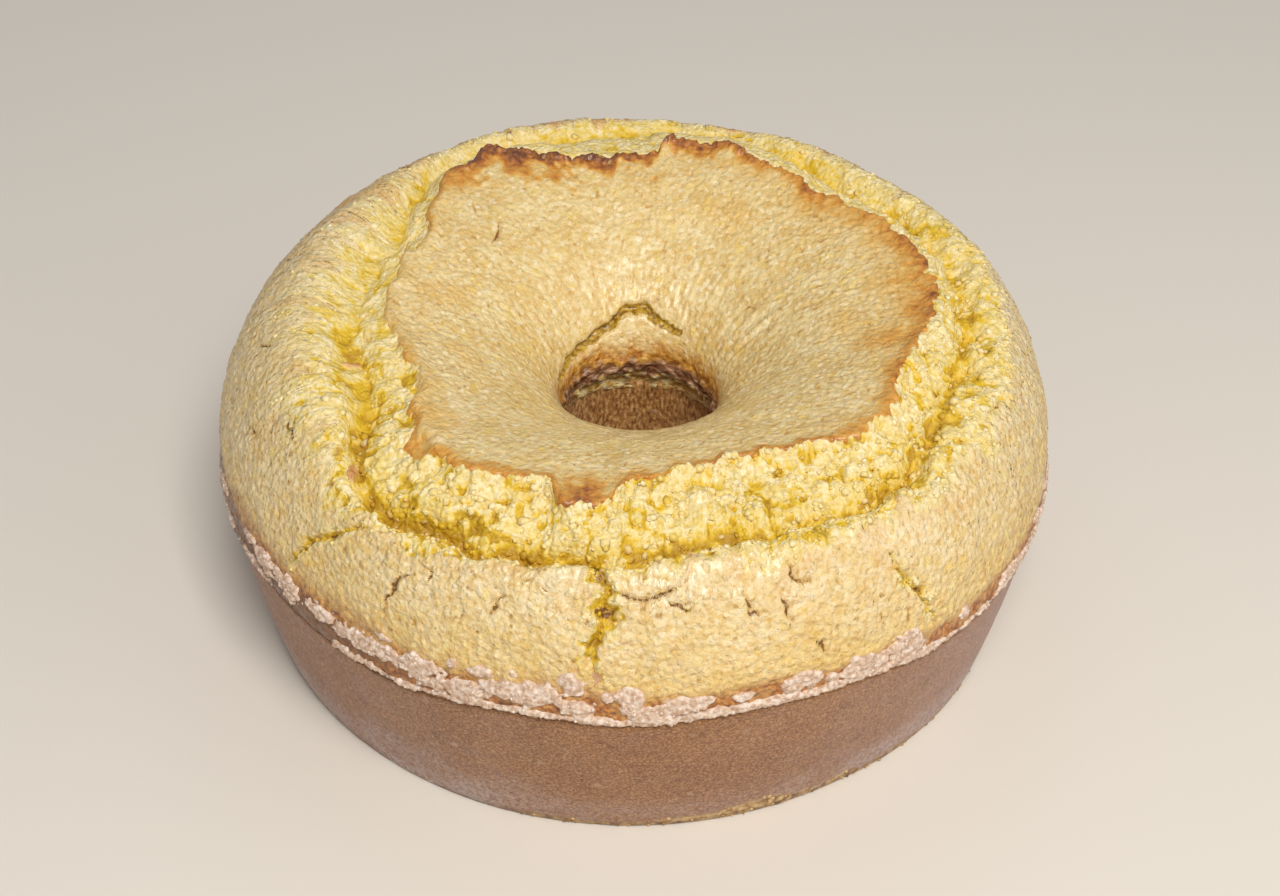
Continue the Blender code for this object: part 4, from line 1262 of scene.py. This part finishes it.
def bend_to_cake(mesh):
    """Gives the swept crust the cake's own fullness, wave and place, and flattens its base."""
    points = np.empty(len(mesh.vertices) * 3, np.float32)
    mesh.vertices.foreach_get("co", points)
    points = points.reshape(-1, 3).astype(float)
    radius = np.hypot(points[:, 0], points[:, 1])
    azimuth = np.degrees(np.arctan2(points[:, 1], points[:, 0])) % 360
    height = points[:, 2]
    outer = radius > 0.5 * (HOLE_FOOT_RADIUS + BASE_RADIUS)
    low = 1 - smooth_step(0.0, PAN_LINE_HEIGHT, height)
    foot = round_the_ring(FOOT_FULLNESS_MM, azimuth) * MM * low
    bulge = shoulder_bulge(azimuth) * smooth_step(0.0, PAN_LINE_HEIGHT, height)
    share = smooth_step(TUBE_ZONE, BASE_RADIUS - BASE_ROUNDING, radius) * outer
    moved = radius + (foot + bulge) * share
    points[:, :2] *= (moved / radius)[:, None]
    points[:, 2] = np.maximum(height + pan_line_wave(azimuth, height) * outer, 0.0)
    points[points[:, 2] < 0.25 * MM, 2] = 0.0
    points[:, :2] -= BOX_MIDDLE
    mesh.vertices.foreach_set("co", points.astype(np.float32).ravel())
    return azimuth, radius, points[:, 2]


def store(mesh, label, numbers):
    layer = mesh.attributes.new(label, "FLOAT", "POINT")
    layer.data.foreach_set("value", np.asarray(numbers, np.float32))


FOOT_BREAK_MM = (
    1.2, 1.0, 1.0, 0.8, 0.8, 0.8, 0.8, 0.8, 0.8, 1.0, 1.0, 0.8,
    0.8, 0.6, 0.6, 0.5, 0.6, 1.2, 3.4, 5.8, 5.6, 3.0, 1.6, 1.2,
)
# Round the ring, how much flour dust and painted bluish sheen the wall shows, most on the left
FLOUR_AND_SHEEN = (0.6, 0.4, 0.4, 0.4, 0.5, 0.6, 0.9, 1.0, 0.75, 0.25, 0.45, 0.75)


def make_pan_crust(material):
    section = pan_crust_section()
    mesh = bpy.data.meshes.new("pan_section")
    edges = [(k, (k + 1) % len(section)) for k in range(len(section))]
    mesh.from_pydata([(r - BASE_RADIUS, -z, 0.0) for r, z in section], edges, [])
    made = evaluated(
        "pan_crust",
        mesh,
        sweep_tree(),
        {
            "Sweep Radius": BASE_RADIUS,
            "Turn Steps": PAN_CRUST_STEPS,
            "Grain Size": PAN_GRAIN[0],
            "Grain Height": PAN_GRAIN[1],
            "Patch Size": PAN_PATCHES[0],
            "Patch Height": PAN_PATCHES[1],
            "Material": material,
        },
    )
    azimuth, radius, height = bend_to_cake(made)
    ring = ring_points(azimuth)
    reach = round_the_ring(FOOT_BREAK_MM, azimuth) * MM * (1 + 0.5 * lumps(ring, 3.6 * MM, 121))
    broken = (1 - smooth_step(0.6 * reach, 1.1 * reach, height)) * (radius > 0.095)
    store(made, "broken", broken * (radius > BASE_RADIUS - 1.2 * BASE_ROUNDING))
    # Painted shade: darker just below the pan line, under the crust's overhanging lip
    above = smooth_step(0.0, 4.0 * MM, PAN_LINE_HEIGHT + pan_line_wave(azimuth, height) - height)
    store(made, "edge", (1 - above) * (radius > WALL_ZONE))
    # The tube's crust, later painted lighter than the wall to stand in for light falling into the
    # hole
    store(made, "tube", radius < TUBE_ZONE)
    # Flour dust and a painted bluish sheen, mostly low on the wall
    uneven = lumps(ring + np.outer(height, (0, 0, 1)), 9 * MM, 123)
    flour_and_sheen = round_the_ring(FLOUR_AND_SHEEN, azimuth) * (0.75 + 0.5 * uneven)
    low = 1 - smooth_step(0.003, 0.024, height)
    store(made, "flour_and_sheen", np.clip(flour_and_sheen * (0.22 + 0.78 * low), 0, 1) * (radius > WALL_ZONE))
    face_outwards(made)
    made.shade_smooth()
    return made


# ---------------------------------------------------------------- materials
def light(red, green, blue):
    """A colour as seen, from 0 to 255 a channel, as the light it sends back."""
    shares = [channel / 255 for channel in (red, green, blue)]
    return (*(s / 12.92 if s <= 0.04045 else ((s + 0.055) / 1.055) ** 2.4 for s in shares), 1.0)


class Finish:
    """A material built from nodes on Object coordinates and the piece's own attributes."""

    def __init__(self, name, roughness, specular=0.5):
        self.material = bpy.data.materials.new(name)
        self.material.use_nodes = True
        self.tree = self.material.node_tree
        self.shader = self.tree.nodes["Principled BSDF"]
        self.shader.inputs["Roughness"].default_value = roughness
        self.shader.inputs["Specular IOR Level"].default_value = specular
        self.place = self.tree.nodes.new("ShaderNodeTexCoord").outputs["Object"]

    def put(self, socket, value):
        if isinstance(value, bpy.types.NodeSocket):
            self.tree.links.new(value, socket)
        else:
            socket.default_value = value

    def noise(self, size, detail=2.0, stretch=None):
        node = self.tree.nodes.new("ShaderNodeTexNoise")
        node.inputs["Scale"].default_value = 1 / size
        node.inputs["Detail"].default_value = detail
        place = self.place
        if stretch:
            mapping = self.tree.nodes.new("ShaderNodeMapping")
            mapping.inputs["Scale"].default_value = stretch
            self.tree.links.new(place, mapping.inputs["Vector"])
            place = mapping.outputs[0]
        self.tree.links.new(place, node.inputs["Vector"])
        return node.outputs[0]

    def grains(self, size, feature="F1", output="Distance"):
        node = self.tree.nodes.new("ShaderNodeTexVoronoi")
        node.feature = feature
        node.inputs["Scale"].default_value = 1 / size
        self.tree.links.new(self.place, node.inputs["Vector"])
        return node.outputs[output]

    def attribute(self, name):
        node = self.tree.nodes.new("ShaderNodeAttribute")
        node.attribute_name = name
        return node.outputs["Fac"]

    def ramp(self, value, *stops):
        """stops: (position, colour or number)"""
        node = self.tree.nodes.new("ShaderNodeValToRGB")
        self.tree.links.new(value, node.inputs[0])
        elements = node.color_ramp.elements
        while len(elements) < len(stops):
            elements.new(0.5)
        for element, (position, colour) in zip(elements, stops):
            element.position = position
            element.color = colour if isinstance(colour, tuple) else (colour, colour, colour, 1)
        return node.outputs[0]

    def math(self, operation, a, b):
        node = self.tree.nodes.new("ShaderNodeMath")
        node.operation = operation
        self.put(node.inputs[0], a)
        self.put(node.inputs[1], b)
        return node.outputs[0]

    def mix(self, share, a, b):
        node = self.tree.nodes.new("ShaderNodeMix")
        node.data_type = "RGBA"
        node.clamp_factor = True
        self.put(node.inputs["Factor"], share)
        self.put(node.inputs[6], a)
        self.put(node.inputs[7], b)
        return node.outputs[2]

    def coloured(self, value, *stops):
        """stops: (position, red, green, blue)"""
        return self.ramp(value, *((position, light(*colour)) for position, *colour in stops))

    def tones(self, size_mm, *stops, detail=4.0, stretch=None):
        """Noise of this size in these tones."""
        return self.coloured(self.noise(size_mm * MM, detail, stretch), *stops)

    def flecks(self, size_mm, *stops):
        """Some of the grains of this size, picked at random."""
        return self.ramp(self.grains(size_mm * MM, output="Color"), *stops)

    def over(self, colour, share, red, green, blue):
        """The colour with this share of another over it."""
        return self.mix(share, colour, light(red, green, blue))

    def share(self, label, most):
        return self.math("MULTIPLY", self.attribute(label), most)

    def frayed(self, label, size_mm, reach):
        """An attribute with ragged edges."""
        jags = self.math("SUBTRACT", self.noise(size_mm * MM, 4.0), 0.5)
        return self.math("ADD", self.attribute(label), self.math("MULTIPLY", jags, reach))

    def beads_bump(self, size_mm, height_mm, strength):
        beads = self.ramp(self.grains(size_mm * MM), (0.0, 1.0), (0.8, 0.0))
        return self.bump(beads, height_mm * MM, strength)

    def bump(self, height, distance, strength=1.0, under=None):
        node = self.tree.nodes.new("ShaderNodeBump")
        node.inputs["Strength"].default_value = strength
        node.inputs["Distance"].default_value = distance
        self.put(node.inputs["Height"], height)
        if under:
            self.tree.links.new(under, node.inputs["Normal"])
        return node.outputs[0]

    def done(self, colour, normal=None):
        self.put(self.shader.inputs["Base Color"], colour)
        if normal:
            self.put(self.shader.inputs["Normal"], normal)
        return self.material


def speckled_crust(finish, pale, middle, deep):
    """Cornmeal grains in the crust: pale and deep flecks over a middle tone."""
    clouds = finish.tones(11, (0.36, *pale), (0.52, *middle), (0.68, *deep))
    grains = finish.tones(1.9, (0.34, *pale), (0.50, *middle), (0.66, *deep), detail=3.0)
    colour = finish.mix(0.55, clouds, grains)
    flecks = finish.grains(1.15 * MM, output="Color")
    colour = finish.over(colour, finish.ramp(flecks, (0.68, 0.0), (0.90, 0.60)), 249, 233, 196)
    colour = finish.over(colour, finish.ramp(flecks, (0.14, 0.45), (0.34, 0.0)), 214, 162, 80)
    return finish.over(colour, finish.flecks(2.3, (0.74, 0.0), (0.92, 0.45)), 236, 202, 92)


def crumb_tones(finish):
    """Torn crumb: cream on its lumps and yellow between them, with painted shade in its gaps that
    deepens the yellow towards olive.
    """
    clouds = finish.tones(4.5, (0.38, 224, 194, 100), (0.58, 238, 218, 160), detail=3.0)
    grains = finish.tones(1.4, (0.32, 212, 176, 80), (0.46, 232, 205, 128), (0.62, 247, 233, 190))
    colour = finish.mix(0.5, clouds, grains)
    colour = finish.over(colour, finish.flecks(1.2, (0.70, 0.0), (0.95, 0.6)), 252, 242, 214)
    painted_shade = finish.attribute("painted_shade")
    deep = finish.coloured(painted_shade, (0.12, 230, 200, 72), (0.50, 224, 184, 26), (1.0, 180, 136, 8))
    return finish.mix(finish.ramp(painted_shade, (0.06, 0.0), (0.55, 0.95)), colour, deep)


def cracked(finish, colour, edge, inside):
    """Thin ragged cracks along the slit attribute: a darker edge, and painted shade inside."""
    ragged = finish.frayed("slit", 0.9, 0.8)
    colour = finish.over(colour, finish.ramp(ragged, (0.50, 0.0), (0.76, 0.6)), *edge)
    return finish.over(colour, finish.ramp(ragged, (0.74, 0.0), (0.84, 1.0)), *inside)


def grain_bump(finish, strength=1.0):
    coarse = finish.ramp(finish.grains(1.5 * MM, "SMOOTH_F1"), (0.0, 1.0), (0.75, 0.0))
    first = finish.bump(coarse, 0.65 * MM, 0.85 * strength)
    return finish.bump(finish.noise(0.7 * MM, 3.0), 0.50 * MM, strength, first)


def glaze(finish, weight):
    """A thin shine, as of melted fat, that catches on the grains."""
    finish.shader.inputs["Coat Weight"].default_value = weight
    finish.shader.inputs["Coat Roughness"].default_value = 0.24


def golden_crust():
    """Pale golden crust of the shoulder, browner and rustier towards the pan line."""
    finish = Finish("golden_crust", 0.42)
    glaze(finish, 0.5)
    colour = speckled_crust(finish, (244, 228, 188), (233, 208, 150), (222, 184, 106))
    golden_and_painted_light = finish.tones(1.6, (0.35, 212, 158, 62), (0.62, 240, 208, 122), detail=3.0)
    # Golden near the pan line and at the back, and painted warm light on the left side
    colour = finish.mix(finish.share("golden_and_painted_light", 0.66), colour, golden_and_painted_light)
    toast = finish.ramp(finish.attribute("toast"), (0.0, 0.0), (0.55, 1.0))
    colour = finish.over(colour, toast, 218, 164, 96)
    rusty = finish.tones(1.5, (0.32, 122, 68, 28), (0.50, 176, 106, 44), (0.66, 212, 150, 76))
    colour = finish.mix(finish.attribute("rust"), colour, rusty)
    # Painted shade low on the left side
    colour = finish.over(colour, finish.share("painted_low_left_shade", 0.9), 114, 78, 54)
    colour = finish.mix(finish.attribute("crumb"), colour, crumb_tones(finish))
    # Painted shade in the pores
    colour = finish.over(colour, finish.attribute("pit_shade"), 190, 144, 66)
    colour = cracked(finish, colour, (200, 152, 66), (124, 82, 24))
    return finish.done(colour, grain_bump(finish))


def island_crust():
    """Pale golden crust of the island and funnel, toasted at the rim, dark in the hole."""
    finish = Finish("island_crust", 0.42)
    glaze(finish, 0.38)
    colour = speckled_crust(finish, (238, 217, 162), (226, 197, 132), (214, 176, 98))
    uneven = finish.ramp(finish.noise(2.0 * MM, 4.0), (0.3, 0.70), (0.7, 1.25))
    toast = finish.math("MULTIPLY", finish.attribute("toast"), uneven)
    toasted = finish.coloured(
        toast,
        (0.0, 226, 192, 122),
        (0.26, 220, 172, 86),
        (0.52, 208, 142, 48),
        (0.76, 172, 102, 34),
        (1.0, 116, 66, 34),
    )
    colour = finish.mix(finish.ramp(toast, (0.03, 0.0), (0.34, 1.0)), colour, toasted)
    layered, torn = (0.5, 0.5, 1.2), (0.7, 0.7, 1.2)
    for label, size, stretch, *tones in (
        ("ember", 1.6, None, (0.34, 166, 98, 26), (0.50, 204, 138, 46), (0.64, 228, 180, 92)),
        ("dark", 1.3, layered, (0.34, 94, 56, 30), (0.50, 150, 102, 66), (0.66, 212, 178, 148)),
        ("crumb", 1.9, torn, (0.30, 156, 104, 34), (0.44, 222, 180, 96), (0.60, 250, 234, 176)),
    ):
        tone = finish.tones(size, *tones, stretch=stretch)
        colour = finish.mix(finish.attribute(label), colour, tone)
    # Painted shade in the pores
    colour = finish.over(colour, finish.attribute("pit_shade"), 198, 150, 76)
    # Crumb in the throat's crack, coloured as crumb in painted shade: olive, darker still down its
    # middle
    ragged = finish.frayed("open", 1.6, 1.2)
    olive = finish.tones(1.4, (0.35, 132, 90, 8), (0.65, 208, 168, 52), detail=3.0)
    colour = finish.mix(finish.ramp(ragged, (0.22, 0.0), (0.34, 1.0)), colour, olive)
    colour = finish.over(colour, finish.ramp(ragged, (0.80, 0.0), (1.05, 0.8)), 104, 70, 8)
    colour = cracked(finish, colour, (200, 150, 76), (132, 84, 30))
    return finish.done(colour, grain_bump(finish, 0.75))


def torn_crumb():
    """Crumb of the tear, with its bits of crust."""
    finish = Finish("torn_crumb", 0.5, 0.4)
    crusty = finish.mix(finish.noise(1.5 * MM), light(176, 112, 52), light(226, 172, 112))
    colour = finish.mix(finish.attribute("toast"), crumb_tones(finish), crusty)
    coarse = finish.beads_bump(1.4, 0.5, 0.7)
    return finish.done(colour, finish.bump(finish.noise(0.8 * MM, 3.0), 0.35 * MM, 0.8, coarse))


def crumb_grains():
    """Loose crumbs, the palest ones cream."""
    finish = Finish("crumb_grains", 0.45, 0.45)
    paler = finish.ramp(finish.attribute("shade"), (0.45, 0.0), (1.0, 0.55))
    colour = finish.over(crumb_tones(finish), paler, 246, 231, 186)
    # The grains take the painted shade of the crumb under them
    return finish.done(colour, finish.bump(finish.noise(0.6 * MM), 0.2 * MM, 0.8))


def shaded_grains(name, roughness, specular, *tones):
    """Grains that each take their own tone between these."""
    finish = Finish(name, roughness, specular)
    colour = finish.coloured(finish.attribute("shade"), *tones)
    return finish.done(colour, finish.bump(finish.noise(0.5 * MM), 0.2 * MM, 0.8))


def foot_grains():
    tones = ((0.0, 130, 92, 48), (0.5, 188, 148, 90), (1.0, 222, 192, 136))
    return shaded_grains("foot_grains", 0.7, 0.3, *tones)


def flour_grains():
    tones = ((0.0, 186, 152, 128), (0.5, 216, 192, 170), (1.0, 240, 226, 212))
    return shaded_grains("flour_grains", 0.85, 0.2, *tones)


def pan_brown():
    """Fine-grained brown crust baked against the pan, with flour dust and a painted bluish sheen
    low on the wall.
    """
    finish = Finish("pan_crust", 0.62, 0.35)
    fine = finish.tones(0.7, (0.32, 98, 60, 32), (0.50, 158, 108, 64), (0.70, 214, 168, 116))
    broad = finish.tones(16, (0.35, 146, 98, 58), (0.65, 164, 116, 74), detail=3.0)
    colour = finish.mix(0.40, fine, broad)
    # The tube's crust: a yellower brown of its own, painted lighter than the wall to stand in for
    # light falling into the hole
    tube = ((0.32, 122, 76, 32), (0.50, 182, 128, 66), (0.68, 230, 184, 118))
    tube = finish.tones(1.2, *tube, stretch=(1.4, 1.4, 0.6))
    colour = finish.mix(finish.attribute("tube"), colour, tube)
    # Flour dust and a painted bluish sheen, pale blue-grey
    dusty = finish.ramp(finish.noise(1.4 * MM, 5.0), (0.36, 0.2), (0.58, 1.0))
    flour_and_sheen = finish.math("MULTIPLY", finish.attribute("flour_and_sheen"), dusty)
    colour = finish.over(colour, flour_and_sheen, 196, 184, 182)
    colour = finish.over(colour, finish.flecks(1.6, (0.88, 0.0), (0.98, 0.45)), 206, 178, 146)
    colour = finish.over(colour, finish.flecks(2.6, (0.90, 0.0), (1.0, 0.7)), 88, 52, 30)
    broken = finish.tones(2.0, (0.32, 110, 76, 38), (0.46, 180, 138, 78), (0.60, 222, 190, 128))
    colour = finish.mix(finish.attribute("broken"), colour, broken)
    # Painted shade under the crust's overhanging lip, along the top of the wall
    colour = finish.over(colour, finish.share("edge", 0.35), 110, 68, 40)
    sheen = {"Weight": 0.20, "Roughness": 0.4, "Tint": light(222, 222, 240)}
    for label, value in sheen.items():
        finish.shader.inputs["Sheen " + label].default_value = value
    first = finish.bump(finish.noise(0.6 * MM, 4.0), 0.30 * MM)
    return finish.done(colour, finish.bump(finish.noise(5 * MM, 3.0), 0.5 * MM, 0.4, first))


def baked_flour():
    """Dry pinkish white flour, cracked and grainy."""
    finish = Finish("baked_flour", 0.8, 0.25)
    colour = finish.tones(1.3, (0.30, 184, 148, 122), (0.48, 212, 182, 156), (0.66, 238, 220, 204))
    thin = finish.ramp(finish.attribute("cover"), (0.02, 0.60), (0.30, 0.0))
    colour = finish.over(colour, thin, 188, 130, 74)
    first = finish.beads_bump(0.9, 0.25, 0.5)
    return finish.done(colour, finish.bump(finish.noise(0.5 * MM, 3.0), 0.2 * MM, 0.6, first))


# ---------------------------------------------------------------- putting the cake together
# What is strewn: its name, then the inputs of the tree, with radii, depths and lumps in
# millimetres
GRAIN_INPUTS = (
    "Where", "Grains Per Square Metre", "Seed", "Flatness",
    "Smallest Radius", "Largest Radius", "Sunk", "Lump Size", "Lump Height",
)
STREWN = (
    ("crumb_grains", "torn", 130000.0, 3, 0.6, 0.3, 0.7, 0.28, 0.7, 1.1),
    ("crumb_lumps", "torn", 40000.0, 17, 0.6, 0.7, 1.4, 0.6, 1.1, 1.9),
    ("shoulder_grains", "crumb", 100000.0, 23, 0.6, 0.3, 0.75, 0.38, 0.8, 1.0),
    ("foot_grains", "broken", 180000.0, 5, 0.6, 0.3, 0.65, 0.36, 0.7, 0.7),
    ("flour_grains", "cover", 260000.0, 9, 0.7, 0.18, 0.45, 0.05, 0.8, 0.4),
)
IN_MILLIMETRES = GRAIN_INPUTS[4:]


def strew(row, under, tree, material):
    """Strews one row's grains over the piece under them."""
    name, *values = row
    inputs = dict(zip(GRAIN_INPUTS, values))
    inputs.update({label: inputs[label] * MM for label in IN_MILLIMETRES}, Material=material)
    made = evaluated(name, under.data.copy(), tree, inputs)
    for point in made.vertices:
        point.co.z = max(point.co.z, 0.0)
    made.shade_smooth()
    belongs(placed(name, made))


def build_cake():
    crumb = belongs(placed("torn_crumb", make_crumb(), torn_crumb()))
    island = placed("island_crust", make_island_crust(), island_crust())
    belongs(island)
    shoulder = placed("shoulder_crust", make_shoulder_crust(), golden_crust())
    belongs(shoulder)
    flour = belongs(placed("flour_crust", make_flour_crust(), baked_flour()))
    pan = belongs(placed("pan_crust", make_pan_crust(pan_brown())))
    tree = scatter_tree()
    crumbs = crumb_grains()
    dressing = (
        (crumb, crumbs, "yellow_crumb"),
        (crumb, crumbs, "yellow_crumb"),
        (shoulder, crumbs, "yellow_crumb"),
        (pan, foot_grains(), "yellow_crumb"),
        (flour, flour_grains(), "baked_flour"),
    )
    for row, (under, material, slot) in zip(STREWN, dressing):
        strew(row, under, tree, material)


# ---------------------------------------------------------------- floor, light and camera
CAMERA_DISTANCE = 0.692
CAMERA_ELEVATION = 41.92
CAMERA_ROLL = 0.91
CAMERA_TARGET = (0.0017, 0.0455)
CAMERA_LENS = 65.0
CAMERA_SENSOR = 36.0
FLOOR_HALF = 3.0
LIT_POINT = (0, 0, 0.06)  # what the lights are turned to
SKY_COLOUR = (0.97, 0.97, 1.0, 1.0)
SKY_STRENGTH = 0.30
# Soft lights: name, place, size, watts and colour
LIGHTS = (
    ("key", (0.16, -0.75, 1.10), 0.42, 13.5, (1.0, 0.99, 0.97)),
    ("fill", (0.95, -0.45, 0.60), 0.9, 1.8, (1.0, 0.985, 0.96)),
    ("back", (-0.1, 0.9, 0.9), 0.8, 0.6, (0.97, 0.98, 1.0)),
)


def lay_floor():
    mesh = bpy.data.meshes.new("floor")
    corners = [(x * FLOOR_HALF, y * FLOOR_HALF, 0) for x, y in ((-1, -1), (1, -1), (1, 1), (-1, 1))]
    mesh.from_pydata(corners, [], [(0, 1, 2, 3)])
    finish = Finish("floor", 0.8, 0.2)
    placed("floor", mesh, finish.done(light(226, 218, 206)))


def soft_light(name, place, size, watts, colour):
    lamp = bpy.data.lights.new(name, "AREA")
    lamp.size = size
    lamp.energy = watts
    lamp.color = colour
    holder = bpy.data.objects.new(name, lamp)
    holder.location = place
    aim = Vector(place) - Vector(LIT_POINT)
    holder.rotation_euler = aim.to_track_quat("Z", "Y").to_euler()
    bpy.context.scene.collection.objects.link(holder)


def light_scene():
    for lamp in LIGHTS:
        soft_light(*lamp)
    world = bpy.data.worlds.new("studio")
    world.use_nodes = True
    sky = world.node_tree.nodes["Background"]
    sky.inputs["Color"].default_value = SKY_COLOUR
    sky.inputs["Strength"].default_value = SKY_STRENGTH
    bpy.context.scene.world = world
    bpy.context.scene.view_settings.view_transform = "Standard"


def set_camera():
    tilt = math.radians(CAMERA_ELEVATION)
    roll = math.radians(CAMERA_ROLL)
    place = Vector((0, -CAMERA_DISTANCE * math.cos(tilt), CAMERA_DISTANCE * math.sin(tilt)))
    back = (place - Vector((CAMERA_TARGET[0], 0, CAMERA_TARGET[1]))).normalized()
    right = Vector((0, 0, 1)).cross(back).normalized()
    up = back.cross(right)
    level = right * math.cos(roll) + up * math.sin(roll)
    upright = up * math.cos(roll) - right * math.sin(roll)
    lens = bpy.data.cameras.new("camera")
    lens.lens = CAMERA_LENS
    lens.sensor_width = CAMERA_SENSOR
    camera = bpy.data.objects.new("camera", lens)
    pose = Matrix((level, upright, back)).transposed().to_4x4()
    pose.translation = place
    camera.matrix_world = pose
    bpy.context.scene.collection.objects.link(camera)
    bpy.context.scene.camera = camera


build_cake()
lay_floor()
light_scene()
set_camera()
